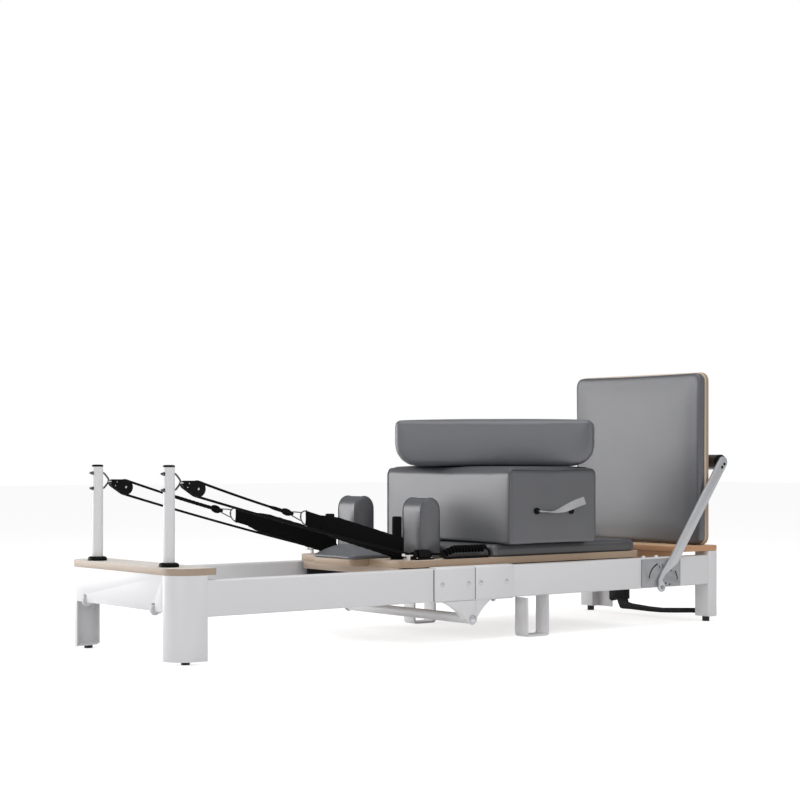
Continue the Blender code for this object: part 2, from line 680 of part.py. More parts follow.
def make_posts(finish):
    """A post with its eye bolt: two legs through the post, nuts on the end side, the loop inward"""
    post = rod("post_near", (POST_X, -POST_Y, PLATE_BOTTOM - POST_SEAT), (POST_X, -POST_Y, POST_TOP),
               POST_RADIUS, finish, 20)
    bend = EYE_REACH - EYE_HALF * 0.6
    loop = [(NUT_X, -POST_Y, EYE_Z + EYE_HALF), (bend, -POST_Y, EYE_Z + EYE_HALF)]
    loop += [(x, -POST_Y, z) for x, z in
             [(bend + (EYE_REACH - bend) * math.cos(a), EYE_Z + EYE_HALF * math.sin(a))
              for a in np.radians(np.linspace(60, -60, 7))]]
    loop += [(bend, -POST_Y, EYE_Z - EYE_HALF), (NUT_X, -POST_Y, EYE_Z - EYE_HALF)]
    combine(post, wire("eye_near", loop, EYE_WIRE), "UNION")
    for label, z in (("top", EYE_Z + EYE_HALF), ("low", EYE_Z - EYE_HALF)):
        nut = rod("nut_near_" + label, (NUT_X, -POST_Y, z), (POST_X - POST_RADIUS + 0.001, -POST_Y, z),
                  NUT_RADIUS, None, 6)
        combine(post, nut, "UNION")
    mirrored(post, "post_far")


def make_pulleys(black, steel):
    """Block of two cheeks on a neck, whose ring hangs on the post's eye, with a grooved sheave between"""
    y = -POST_Y
    neck = (BLOCK_NECK_X, EYE_Z - 0.004)
    outline = capsule_chain([(neck[0], neck[1], BLOCK_NECK_HALF), (SHEAVE_X, SHEAVE_Z, BLOCK_RADIUS)])
    body = slab_y("pulley_block_near", [outline], y - BLOCK_WIDTH / 2, BLOCK_WIDTH, black)
    slot_start = SHEAVE_X - ROPE_WRAP - ROPE_RADIUS - 0.001
    slot = block("sheave_slot_near", (slot_start, y - BLOCK_SLOT / 2, SHEAVE_Z - 0.05),
                 (SHEAVE_X + 0.05, y + BLOCK_SLOT / 2, SHEAVE_Z + 0.05))
    combine(body, slot, "DIFFERENCE")
    pin = rod("sheave_pin_near", (SHEAVE_X, y - BLOCK_WIDTH / 2 + 0.0005, SHEAVE_Z),
              (SHEAVE_X, y + BLOCK_WIDTH / 2 - 0.0005, SHEAVE_Z), SHEAVE_PIN, None, 12)
    combine(body, pin, "UNION")
    ring_x = EYE_REACH + 0.0025
    ring = [(ring_x + RING_RADIUS * math.cos(a), y + RING_RADIUS * math.sin(a), EYE_Z - 0.002)
            for a in np.radians(np.arange(0, 360, 30))]
    combine(body, wire("block_ring_near", ring, RING_WIRE, None, 1, True), "UNION")
    mirrored(body, "pulley_block_far")
    half, lip = SHEAVE_WIDTH / 2, SHEAVE_RADIUS
    groove = SHEAVE_RADIUS - SHEAVE_GROOVE
    profile = [(SHEAVE_BORE, half), (lip, half), (lip, half - 0.001), (groove + 0.001, 0.0025), (groove, 0),
               (groove + 0.001, -0.0025), (lip, 0.001 - half), (lip, -half), (SHEAVE_BORE, -half)]
    for side, label in ((-1, "near"), (1, "far")):
        sheave = turned("sheave_" + label, profile, (0, 0, 0), (0, 1, 0), steel)
        sheave.location = (SHEAVE_X, side * POST_Y, SHEAVE_Z)


# Fold hinge
def sleeve_section():
    """Channel that wraps a rail's top, outer face and bottom, seen along X"""
    inner = -HALF_WIDTH + SLEEVE_REACH
    g, t = GAP, SLEEVE_THICKNESS
    r = RAIL_EDGE_RADIUS
    top, low = RAIL_TOP + g, RAIL_BOTTOM - g
    out = -HALF_WIDTH - g
    points = [(inner, top), (inner, top + t)]
    points += arc(-HALF_WIDTH + r, RAIL_TOP - r, r + g + t, 90, 180, 4)
    points += arc(-HALF_WIDTH + r, RAIL_BOTTOM + r, r + g + t, 180, 270, 4)
    points += [(inner, low - t), (inner, low)]
    points += arc(-HALF_WIDTH + r, RAIL_BOTTOM + r, r + g, 270, 180, 4)
    points += arc(-HALF_WIDTH + r, RAIL_TOP - r, r + g, 180, 90, 4)
    return [points]


def bowed(start, end, bow, steps=5):
    """Points from start to end on a shallow curve, bow to the left of the way, ends left out"""
    along = Vector(end) - Vector(start)
    left = Vector((-along.y, along.x)).normalized()
    shares = np.linspace(0, 1, steps + 1)[1:-1]
    return [tuple(Vector(start) + along * t + left * (4 * bow * t * (1 - t))) for t in shares]


def gusset_touch(reach):
    """Where a gusset's side leaves its round end, in XZ: the top's height and the touching point's angle"""
    top = RAIL_BOTTOM - GAP - SLEEVE_THICKNESS / 2
    r = GUSSET_RADIUS
    dx, dz = reach - PIVOT_X, top - PIVOT_Z
    far = math.hypot(dx, dz)
    lean = math.atan2(dz, dx)
    touch = lean + math.copysign(math.acos(r / far), dx) * -1
    return top, touch


def make_hinges(finish):
    y_out = -HALF_WIDTH - GAP - SLEEVE_THICKNESS
    left = slab_x("left_hinge_near", sleeve_section(), FOLD_X - GAP / 2 - SLEEVE_LENGTH, SLEEVE_LENGTH, finish)
    right = slab_x("right_hinge_near", sleeve_section(), FOLD_X + GAP / 2, SLEEVE_LENGTH, finish)
    hole = circle(PIVOT_X, PIVOT_Z, PIVOT_BOLT_RADIUS + GAP, 16)
    left_x = FOLD_X - GUSSET_REACH_LEFT
    top, touch = gusset_touch(left_x)
    end = arc(PIVOT_X, PIVOT_Z, GUSSET_RADIUS, math.degrees(touch), 360, 8)
    outline = [(FOLD_X - GAP, top), (left_x, top)] + bowed((left_x, top), end[0], GUSSET_HOLLOW) + end
    outline += [(FOLD_X - GAP, PIVOT_Z + 0.020)]
    combine(left, slab_y("left_gusset_near", [outline, hole], y_out, GUSSET_THICKNESS), "UNION")
    flange_y = y_out + GUSSET_THICKNESS / 2
    edge = (PIVOT_X + GUSSET_RADIUS * math.cos(touch), PIVOT_Z + GUSSET_RADIUS * math.sin(touch))
    along = Vector((left_x - edge[0], top - edge[1])).normalized()
    edge = Vector(edge) + along * GUSSET_FLANGE_START
    outer = [tuple(edge)] + bowed(edge, (left_x, top), -GUSSET_HOLLOW) + [(left_x, top)]
    inner = [(u + GUSSET_THICKNESS / along.y, v) for u, v in reversed(outer)]
    flange = outer + inner
    combine(left, slab_y("left_flange_near", [flange], flange_y, GUSSET_FLANGE), "UNION")
    right_x = FOLD_X + GUSSET_REACH_RIGHT
    top, touch = gusset_touch(right_x)
    outline = [(FOLD_X + 3 * GAP, top)]
    end = arc(PIVOT_X, PIVOT_Z, GUSSET_RADIUS - 0.001, 150, 360 + math.degrees(touch), 10)
    outline += end + bowed(end[-1], (right_x, top), GUSSET_HOLLOW) + [(right_x, top)]
    inner_y = y_out + GUSSET_THICKNESS + GAP
    combine(right, slab_y("right_gusset_near", [outline, hole], inner_y, GUSSET_THICKNESS), "UNION")
    mirrored(left, "left_hinge_far")
    mirrored(right, "right_hinge_far")


def make_hinge_tube(finish):
    """Cross tube between the gussets, with a pivot bolt through them at each end"""
    head = HALF_WIDTH + GAP + SLEEVE_THICKNESS + GAP
    inner = HALF_WIDTH + GAP + SLEEVE_THICKNESS - 2 * GUSSET_THICKNESS - 2 * GAP
    profile = [(0, head + PIVOT_HEAD), (PIVOT_HEAD_RADIUS - 0.002, head + PIVOT_HEAD),
               (PIVOT_HEAD_RADIUS, head + PIVOT_HEAD - 0.002), (PIVOT_HEAD_RADIUS, head),
               (PIVOT_BOLT_RADIUS, head), (PIVOT_BOLT_RADIUS, inner), (HINGE_TUBE_RADIUS, inner)]
    profile += [(r, -h) for r, h in reversed(profile)]
    turned("hinge_tube", profile, (PIVOT_X, 0, PIVOT_Z), (0, 1, 0), finish)


# Right half of the frame
def make_right_legs(finish):
    """Two square tube legs joined by an end beam, each on a rubber pad, with a panel beside the far one"""
    x0, x1 = RIGHT_LEG_START, RIGHT_LEG_START + RIGHT_LEG_X
    top = PLATE_BOTTOM - GAP
    beam_y = HALF_WIDTH - RIGHT_LEG_Y + 0.002
    middle = (x0 + x1) / 2
    legs = block("right_legs", (middle - END_BEAM_DEPTH / 2, -beam_y, END_BEAM_BOTTOM),
                 (middle + END_BEAM_DEPTH / 2, beam_y, END_BEAM_BOTTOM + END_BEAM_HEIGHT), finish)
    panel = block("right_leg_panel", (LEG_PANEL_X, LEG_PANEL_Y, RIGHT_LEG_BOTTOM),
                  (LEG_PANEL_X + LEG_PANEL, HALF_WIDTH - RIGHT_LEG_Y + 0.003, END_BEAM_BOTTOM + 0.003))
    combine(legs, panel, "UNION")
    for side, label in ((-1, "near"), (1, "far")):
        low, high = sorted((side * HALF_WIDTH, side * (HALF_WIDTH - RIGHT_LEG_Y)))
        section = rounded_rect(x0, low, x1, high, 0.005, 3)
        combine(legs, slab_z("right_leg_" + label, [section], RIGHT_LEG_BOTTOM, top - RIGHT_LEG_BOTTOM), "UNION")
        pad = (middle, side * (HALF_WIDTH - RIGHT_LEG_Y / 2))
        combine(legs, rod("right_pad_" + label, (*pad, 0), (*pad, RIGHT_LEG_BOTTOM + 0.003), PAD_RADIUS), "UNION")


def make_right_plate(finish):
    start = FRAME_LENGTH - RIGHT_PLATE_LENGTH
    outline = rounded_rect(start, -HALF_WIDTH, FRAME_LENGTH, HALF_WIDTH,
                           (RIGHT_PLATE_CORNER, 0.010, 0.010, RIGHT_PLATE_CORNER), 5)
    plate = slab_z("right_plate", [outline], PLATE_BOTTOM, PLATE_THICKNESS, finish)
    half = HALF_WIDTH - RAIL_WIDTH - 0.004
    fascia = block("right_fascia", (start + 0.012, -half, PLATE_BOTTOM - FASCIA_DROP),
                   (start + 0.012 + FASCIA_THICKNESS, half, PLATE_BOTTOM + 0.002))
    combine(plate, fascia, "UNION")


def make_spring_bar(finish):
    """Bar across the rails that the springs hook on"""
    half = HALF_WIDTH - RAIL_WIDTH - GAP
    x0 = SPRING_BAR_X
    low = SPRING_BAR_BOTTOM
    bar = block("spring_bar", (x0, -half, low), (x0 + SPRING_BAR_SIZE, half, low + SPRING_BAR_SIZE), finish)
    for index, y in enumerate(SPRING_YS):
        post = rod("spring_post_%d" % index, (x0 + 0.012, y, low + SPRING_BAR_SIZE - 0.002),
                   (x0 + 0.012, y, SPRING_Z + 0.014), 0.005, None, 10)
        combine(bar, post, "UNION")


def slot_track(x, z, radius, start, end, width):
    """Outline of one curved adjustment slot in XZ"""
    half = width / 2
    return arc(x, z, radius + half, start, end, 7) + arc(x, z, radius - half, end, start, 7)


def notch_track(x0, z0, x1, z1):
    """Outline of a short straight slot in XZ"""
    along = Vector((x1 - x0, z1 - z0)).normalized() * NOTCH_WIDTH / 2
    side = Vector((-along.y, along.x))
    return [(x0 + side.x, z0 + side.y), (x0 - side.x, z0 - side.y), (x1 - side.x, z1 - side.y),
            (x1 + side.x, z1 + side.y)]


def make_quadrants(finish):
    """Silver plate on the rail's outer face, with the footbar's adjustment slots and its pivot pin on an ear"""
    x0, x1 = QUADRANT_START, QUADRANT_START + QUADRANT_LENGTH
    z0, z1 = QUADRANT_BOTTOM, QUADRANT_BOTTOM + QUADRANT_HEIGHT
    outline = rounded_rect(x0, z0, x1, z1, 0.005, 3)
    y_low = -HALF_WIDTH - GAP - QUADRANT_THICKNESS
    slots = [slot_track(x0 + x, z0 + z, *rest) for x, z, *rest in SLOTS]
    slots += [notch_track(x0 + a, z0 + b, x0 + c, z0 + d) for a, b, c, d in NOTCHES]
    plate = slab_y("quadrant_near", [outline] + slots, y_low, QUADRANT_THICKNESS, finish)
    pivot = (FOOTBAR_PIVOT_X, FOOTBAR_PIVOT_Z)
    ear = rod("quadrant_ear_near", (pivot[0], y_low + 0.0001, pivot[1]),
              (pivot[0], y_low + QUADRANT_THICKNESS - 0.0001, pivot[1]), QUADRANT_EAR, None, 20)
    combine(plate, ear, "UNION")
    pin = rod("footbar_pin_near", (pivot[0], y_low + 0.001, pivot[1]),
              (pivot[0], y_low - ARM_THICKNESS - 0.004, pivot[1]), FOOTBAR_PIN, None, 12)
    combine(plate, pin, "UNION")
    mirrored(plate, "quadrant_far")


def make_lift_bar(finish):
    """Low flat band with a bolted bracket under the end beam, its other end on the near leg"""
    z_beam = END_BEAM_BOTTOM - GAP
    low, high = LIFT_BRACKET_Y - 0.043, LIFT_BRACKET_Y + 0.043
    shape = [(low, z_beam), (low, 0.055), (low + 0.056, 0.055), (low + 0.062, 0.0475), (high - 0.010, 0.0435),
             (high, 0.052), (high, z_beam)]
    bracket = slab_x("lift_bar", [shape], LIFT_X - 0.012, 0.024, finish)
    leg_face = HALF_WIDTH - RIGHT_LEG_Y - GAP
    outline = list(LIFT_OUTLINE[:7]) + [(-leg_face, 0.0440), (-leg_face, 0.0265)] + list(LIFT_OUTLINE[7:])
    combine(bracket, slab_x("lift_band", [outline], LIFT_X - LIFT_BAND / 2, LIFT_BAND), "UNION")


# Footbar
def make_footbar(silver):
    """Two flat arms on the quadrants' pins, with the round bar between their tops"""
    y_high = -HALF_WIDTH - GAP - QUADRANT_THICKNESS - GAP
    stations = [(FOOTBAR_PIVOT_X, FOOTBAR_PIVOT_Z, ARM_ROOT), (ARM_NECK_X, ARM_NECK_Z, ARM_NECK),
                (ARM_BEND_X, ARM_BEND_Z, ARM_NECK + 0.001), (ARM_KNEE_X, ARM_KNEE_Z, ARM_BAR - 0.001),
                (FOOTBAR_TOP_X, FOOTBAR_TOP_Z, ARM_BAR)]
    hole = circle(FOOTBAR_PIVOT_X, FOOTBAR_PIVOT_Z, FOOTBAR_PIN + GAP, 14)
    outlines = [capsule_chain(stations), hole]
    near = slab_y("footbar_arm_near", outlines, y_high - ARM_THICKNESS, ARM_THICKNESS, silver)
    far = mirrored(near, "footbar_arm_far")
    inner = -y_high - GAP
    roller = rod("footbar_roller", (FOOTBAR_TOP_X, -inner, FOOTBAR_TOP_Z),
                 (FOOTBAR_TOP_X, inner, FOOTBAR_TOP_Z), ROLLER_RADIUS, silver, 24)
    for piece in (near, far, roller):
        set_origin(piece, (FOOTBAR_PIVOT_X, 0, FOOTBAR_PIVOT_Z))


# Jump board, box and bolster
def make_jump_board(wood, fabric):
    low, high = PLATE_TOP + GAP, PLATE_TOP + GAP + JUMP_HEIGHT
    outline = rounded_rect(-JUMP_HALF, low, JUMP_HALF, high, JUMP_CORNER, 5)
    slab_x("jump_board_back", [outline], JUMP_X, JUMP_BOARD, wood)
    inset = 0.001
    stand = Matrix(((0, 0, -1, JUMP_X - GAP), (-1, 0, 0, 0), (0, 1, 0, (low + high) / 2), (0, 0, 0, 1)))
    size = (2 * (JUMP_HALF - inset), JUMP_HEIGHT - 2 * inset, JUMP_PAD)
    padded_form("jump_board_pad", size, (JUMP_CORNER,) * 4, fabric, stand, 0.012, 0.004)


def make_box(fabric):
    low = PAD_TOP + GAP
    cushion("sitting_box", (BOX_START, -BOX_HALF, low), (BOX_START + BOX_LENGTH, BOX_HALF, low + BOX_HEIGHT),
            fabric, BOX_CORNER, BOX_EDGE, 0.003)


def make_bolster(fabric):
    low = PAD_TOP + GAP + BOX_HEIGHT + GAP
    size = (BOLSTER_LENGTH, BOLSTER_HEIGHT, BOLSTER_WIDTH)
    radii = (BOLSTER_UNDER, BOLSTER_UNDER, BOLSTER_SHOULDER, BOLSTER_SHOULDER)
    place = Matrix.Translation((BOLSTER_X, BOLSTER_Y, low + BOLSTER_HEIGHT / 2))
    place = place @ Matrix.Rotation(BOLSTER_TURN, 4, "Z") @ SWAP_YZ
    place = place @ Matrix.Translation((0, 0, -BOLSTER_WIDTH / 2))
    padded_form("bolster", size, radii, fabric, place, BOLSTER_RIM, 0.003, BOLSTER_RIM)


# Carriage
def deck_outline():
    x0, x1 = DECK_START, DECK_START + DECK_LENGTH
    cut = HEAD_BOARD_HALF + HEAD_CUT_GAP
    cut_x = HEAD_HINGE_X + HEAD_CUT_GAP
    points = [(x0, -cut)]
    points += arc(x0 + DECK_CORNER, -DECK_HALF + DECK_CORNER, DECK_CORNER, 180, 270, 5)
    points += arc(x1 - DECK_CORNER, -DECK_HALF + DECK_CORNER, DECK_CORNER, 270, 360, 5)
    points += arc(x1 - DECK_CORNER, DECK_HALF - DECK_CORNER, DECK_CORNER, 0, 90, 5)
    points += arc(x0 + DECK_CORNER, DECK_HALF - DECK_CORNER, DECK_CORNER, 90, 180, 5)
    points += [(x0, cut), (cut_x, cut), (cut_x, -cut)]
    return points


def make_deck(wood):
    rest_middle = (REST_X + REST_LENGTH / 2, REST_Y + REST_WIDTH / 2)
    holes = []
    for side in (-1, 1):
        holes.append(circle(rest_middle[0], side * rest_middle[1], REST_STEM + GAP, 14))
        holes.append(circle(PEG_X, side * PEG_Y, 0.008 + GAP, 12))
    slab_z("carriage_deck", [deck_outline()] + holes, DECK_BOTTOM, DECK_THICKNESS, wood)


def pad_outline(inset):
    """The carriage pad's outline drawn in by inset: narrow between the hanks, then nearly as wide as the deck"""
    x0, x1 = PAD_START + inset, DECK_START + DECK_LENGTH - PAD_END_INSET - inset
    step = HANK_END + 0.008 + inset
    narrow, wide = PAD_HALF - inset, PAD_WIDE - inset
    corner, out, back = PAD_CORNER - inset, PAD_STEP_OUT - inset, PAD_STEP_IN + inset
    half = arc(x0 + corner, -narrow + corner, corner, 180, 270, 4)
    half += arc(step - back, -narrow - back, back, 90, 0, 3)
    half += arc(step + out, -wide + out, out, 180, 270, 3)
    half += arc(x1 - corner, -wide + corner, corner, 270, 360, 4)
    return half + [(x, -y) for x, y in reversed(half)]


def make_carriage_pad(fabric):
    """The pad that the user lies on, its rims rounded and its top flat"""
    low, base = DECK_TOP + GAP, 0.002
    quarter = np.radians(np.linspace(0, 90, 4))
    levels = [(base * (1 - math.sin(a)), base * (1 - math.cos(a))) for a in quarter]
    levels += [(PAD_EDGE * (1 - math.cos(a)), PAD_THICKNESS - PAD_EDGE * (1 - math.sin(a))) for a in quarter]
    loft("carriage_pad", [(pad_outline(inset), level) for inset, level in levels], fabric,
         Matrix.Translation((0, 0, low)))


def make_headrest(wood, fabric):
    board = slab_z("headrest_board", [rounded_rect(HEAD_BOARD_START, -HEAD_BOARD_HALF, HEAD_HINGE_X,
                                                   HEAD_BOARD_HALF, (0.012, 0.002, 0.002, 0.012), 3)],
                   DECK_BOTTOM, DECK_THICKNESS, wood)
    low = DECK_TOP + GAP
    pad = cushion("headrest_pad", (HEAD_BOARD_START - 0.002, -HEAD_PAD_HALF, low),
                  (HEAD_HINGE_X - 0.012, HEAD_PAD_HALF, low + HEAD_PAD_HEIGHT), fabric, 0.020, 0.010, 0.022)
    for piece in (board, pad):
        set_origin(piece, (HEAD_HINGE_X, 0, DECK_TOP))


def make_shoulder_rests(fabric):
    """Arch-shaped pad on a stem that drops into the deck"""
    x0, x1 = REST_X, REST_X + REST_LENGTH
    r = REST_LENGTH / 2
    low = DECK_TOP + GAP
    outline = [(x0, low), (x1, low)] + arc(x0 + r, REST_TOP - r, r, 0, 180, 10)
    rest = slab_y("shoulder_rest_near", [outline], -REST_Y - REST_WIDTH, REST_WIDTH, fabric)
    middle = (x0 + r, -REST_Y - REST_WIDTH / 2)
    stem = rod("rest_stem_near", (*middle, low - REST_STEM_LENGTH), (*middle, low + 0.004), REST_STEM, None, 14)
    combine(rest, stem, "UNION")
    mirrored(rest, "shoulder_rest_far")


def make_pegs(black):
    low = DECK_TOP + GAP
    profile = [(0, PEG_TOP), (PEG_RADIUS - 0.002, PEG_TOP), (PEG_RADIUS, PEG_TOP - 0.002), (PEG_RADIUS, low),
               (0.008, low), (0.008, DECK_BOTTOM), (0, DECK_BOTTOM)]
    for side, label in ((-1, "near"), (1, "far")):
        turned("peg_" + label, profile, (PEG_X, side * PEG_Y, 0), (0, 0, 1), black, 18)


def make_cleats(black):
    """Rope cleat: a base with a raised body that the rope runs into"""
    x0, x1 = CLEAT_X, CLEAT_X + CLEAT_LENGTH
    low = DECK_TOP + GAP
    outline = [(x0, low), (x1, low), (x1, low + CLEAT_HEIGHT * 0.8)]
    outline += [(x1 - 0.012, low + CLEAT_HEIGHT), (x0 + 0.020, low + CLEAT_HEIGHT * 0.95),
                (x0, low + CLEAT_HEIGHT * 0.75)]
    cleat = slab_y("rope_cleat_near", [outline], -CLEAT_Y - CLEAT_WIDTH / 2, CLEAT_WIDTH, black)
    mirrored(cleat, "rope_cleat_far")


def make_carriage_frame(black):
    """Steel side plates with flanges under the deck, the rear bar between them and four stub axles"""
    x1 = DECK_START + DECK_LENGTH - 0.020
    top = DECK_BOTTOM - GAP
    low_y, high_y = SIDE_PLATE_Y, SIDE_PLATE_Y + SIDE_PLATE
    inner = low_y - SIDE_FLANGE
    angle = [(-high_y, SIDE_PLATE_BOTTOM), (-low_y, SIDE_PLATE_BOTTOM), (-low_y, top - SIDE_PLATE),
             (-inner, top - SIDE_PLATE), (-inner, top), (-high_y, top)]
    frame = slab_x("carriage_frame", [angle], FRAME_START, x1 - FRAME_START, black)
    other = slab_x("side_plate_far", [[(-y, z) for y, z in reversed(angle)]], FRAME_START, x1 - FRAME_START)
    combine(frame, other, "UNION")
    bar = block("rear_bar", (REAR_BAR_X, -low_y - 0.001, SPRING_Z - REAR_BAR_SIZE / 2),
                (REAR_BAR_X + REAR_BAR_SIZE, low_y + 0.001, SPRING_Z + REAR_BAR_SIZE / 2))
    combine(frame, bar, "UNION")
    axle_z = RAIL_BOTTOM + LEDGE_THICKNESS + GAP + CARRIAGE_WHEEL_RADIUS
    reach = HALF_WIDTH - RAIL_WIDTH - 0.002
    for index, x in enumerate(CARRIAGE_WHEEL_XS):
        for side, label in ((-1, "near"), (1, "far")):
            axle = rod("axle_%s_%d" % (label, index), (x, side * (low_y + 0.001), axle_z),
                       (x, side * reach, axle_z), CARRIAGE_AXLE, None, 12)
            combine(frame, axle, "UNION")


def make_cross_board(wood):
    half = SIDE_PLATE_Y - GAP
    start = FRAME_START - CROSS_BOARD_X - GAP
    block("carriage_cross_board", (start, -half, DECK_BOTTOM - GAP - CROSS_BOARD_DROP),
          (start + CROSS_BOARD_X, half, DECK_BOTTOM - GAP), wood, 0.0015)


def make_carriage_wheels(finish):
    half = CARRIAGE_WHEEL_WIDTH / 2
    r = CARRIAGE_WHEEL_RADIUS
    profile = [(CARRIAGE_WHEEL_BORE, half), (r - 0.0015, half), (r, half - 0.0015), (r, 0.0015 - half),
               (r - 0.0015, -half), (CARRIAGE_WHEEL_BORE, -half)]
    z = RAIL_BOTTOM + LEDGE_THICKNESS + GAP + r
    y = SIDE_PLATE_Y + SIDE_PLATE + 0.001 + half
    for x, place in zip(CARRIAGE_WHEEL_XS, ("front", "rear")):
        for side, label in ((-1, "near"), (1, "far")):
            name = "carriage_wheel_%s_%s" % (place, label)
            turned(name, profile, (0, 0, 0), (0, 1, 0), finish)
            bpy.data.objects[name].location = (x, side * y, z)


def make_springs(finish):
    start = REAR_BAR_X + REAR_BAR_SIZE + GAP
    end = SPRING_BAR_X + 0.007 - GAP
    for index, y in enumerate(SPRING_YS, 1):
        rod("spring_%d" % index, (start, y, SPRING_Z), (end, y, SPRING_Z), SPRING_RADIUS, finish, 12)


# Ropes, straps and hanks
def strap_line(x):
    """Height of the strap's middle, and of the rope's upper run, above x"""
    slope = (KNOT_Z - STRAP_Z) / (KNOT_X - PEG_X)
    return STRAP_Z + slope * (x - PEG_X)


def rope_y(x):
    """Distance of the upper run from the middle plane: from the sheave's plane to the peg's"""
    share = (x - SHEAVE_X) / (PEG_X - SHEAVE_X)
    return POST_Y + (PEG_Y - POST_Y) * share


def make_ropes(black):
    """From the cleat up to the sheave's underside, round it, and back down to the strap's ring"""
    wrap = ROPE_WRAP
    lower_end = (CLEAT_X - GAP - ROPE_RADIUS * 0.35, CLEAT_Y, DECK_TOP + GAP + CLEAT_HEIGHT * 0.5)
    down = math.atan2(SHEAVE_Z - wrap - lower_end[2], SHEAVE_X - lower_end[0])
    low_turn = math.degrees(down) + 90
    up_angle = math.atan2(KNOT_Z - SHEAVE_Z - wrap, KNOT_X - SHEAVE_X)
    high_turn = math.degrees(up_angle) + 90
    turn = arc(SHEAVE_X, SHEAVE_Z, wrap, high_turn, low_turn, 12)[::-1]
    first, last = turn[0], turn[-1]
    points = []
    for share in np.linspace(0, 1, 36)[:-1]:
        x = lower_end[0] + (first[0] - lower_end[0]) * share
        y = lower_end[1] + (POST_Y - lower_end[1]) * share
        sag = 4 * ROPE_SAG * share * (1 - share)
        points.append((x, -y, lower_end[2] + (first[1] - lower_end[2]) * share - sag))
    points += [(x, -POST_Y, z) for x, z in turn]
    end_x = STRAP_NARROW - STRAP_LINK
    for share in np.linspace(0, 1, 16)[1:]:
        x = last[0] + (end_x - last[0]) * share
        sag = 2 * ROPE_SAG * share * (1 - share)
        points.append((x, -rope_y(x), last[1] + (strap_line(end_x) - last[1]) * share - sag))
    rope = wire("rope_near", points, ROPE_RADIUS, black, 2)
    mirrored(rope, "rope_far")


def make_straps(black):
    """Webbing loop round the peg, drawn in to the ring end, as one sloping band"""
    inner = PEG_RADIUS + 2 * GAP
    outer = inner + STRAP_BAND
    neck_x = STRAP_NARROW + 0.060
    outside = capsule_chain([(STRAP_NARROW, -rope_y(STRAP_NARROW), 0.006), (neck_x, -rope_y(neck_x), 0.008),
                             (PEG_X, -PEG_Y, outer)])
    hollow_x = neck_x + 0.070
    inside = capsule_chain([(hollow_x, -rope_y(hollow_x), 0.0035), (PEG_X, -PEG_Y, inner)])
    strap = slab_z("strap_near", [outside, inside], STRAP_Z - STRAP_HEIGHT / 2, STRAP_HEIGHT, black)
    slope = (KNOT_Z - STRAP_Z) / (KNOT_X - PEG_X)
    shear = Matrix.Identity(4)
    shear[2][0] = slope
    strap.data.transform(Matrix.Translation((PEG_X, 0, 0)) @ shear @ Matrix.Translation((-PEG_X, 0, 0)))
    link_xs = (STRAP_NARROW - STRAP_LINK + GAP, STRAP_NARROW - 0.024, STRAP_NARROW)
    link = wire("strap_clip_near", [(x, -rope_y(x), strap_line(x)) for x in link_xs], 0.0035, None, 1)
    combine(strap, link, "UNION")
    mirrored(strap, "strap_far")


def hank_height(x):
    """Height of the hank's core: it leaves the deck at the cleat's end and arches up"""
    share = min(max((x - HANK_START) / 0.055, 0), 1)
    return HANK_Z + HANK_RISE * share * share * (3 - 2 * share)


def hank_route():
    """One rope: out of the cleat, along the core, back under it, and 13 turns round the core"""
    length = HANK_TURNS * HANK_PITCH
    x0, x1 = HANK_START, HANK_START + length
    floor = DECK_TOP + ROPE_RADIUS + 0.0005
    cleat_end = CLEAT_X + CLEAT_LENGTH + GAP
    y, z = -HANK_Y, hank_height(x1)
    exit_z = DECK_TOP + GAP + CLEAT_HEIGHT * 0.5
    points = [(cleat_end, -CLEAT_Y, exit_z), (cleat_end + 0.008, -CLEAT_Y, exit_z)]
    points += [(x0 - 0.010, y + 0.006, HANK_Z - 0.001), (x0, y, HANK_Z)]
    points += [(x, y, hank_height(x)) for x in np.linspace(x0, x1 + 0.002, 16)[1:]]
    turn_x = x1 + 0.002
    half = (z - floor) / 2
    for a in np.radians(np.linspace(70, -70, 7)):
        across = (HANK_Y + HANK_RETURN_Y) / 2 - math.sin(a) * (HANK_RETURN_Y - HANK_Y) / 2
        points.append((turn_x + 0.010 * math.cos(a), -across, floor + half + half * math.sin(a)))
    points += [(x, -HANK_RETURN_Y, floor) for x in np.linspace(x1 - 0.004, x0 + 0.010, 10)]
    points += [(x0 - 0.004, -HANK_RETURN_Y, floor + 0.002), (x0 - 0.008, -HANK_RETURN_Y - 0.001, floor + 0.009)]
    steps = 10
    start_turn = math.radians(200)
    for i in range(HANK_TURNS * steps + 1):
        a = start_turn + 2 * math.pi * i / steps
        x = x0 + 0.002 + HANK_PITCH * i / steps * 0.975
        points.append((x, y + HANK_COIL * math.cos(a), hank_height(x) + HANK_COIL * math.sin(a)))
    return points


def least_self_gap(points, radius):
    """Least clear distance between stretches of a tube that are not neighbours along it"""
    dense = []
    for a, b in zip(points, points[1:]):
        for share in (0, 0.5):
            dense.append(np.array(a) * (1 - share) + np.array(b) * share)
    dense = np.array(dense)
    along = np.concatenate(([0], np.cumsum(np.linalg.norm(np.diff(dense, axis=0), axis=1))))
    least = 1.0
    for i, point in enumerate(dense):
        apart = along > along[i] + 6 * radius
        if apart.any():
            least = min(least, float(np.linalg.norm(dense[apart] - point, axis=1).min()))
    return least - 2 * radius


def make_hanks(black):
    points = hank_route()
    print("hank: least gap to itself %.2f mm" % (least_self_gap(points, ROPE_RADIUS) * 1000))
    hank = wire("hank_near", points, ROPE_RADIUS, black, 1)
    mirrored(hank, "hank_far")


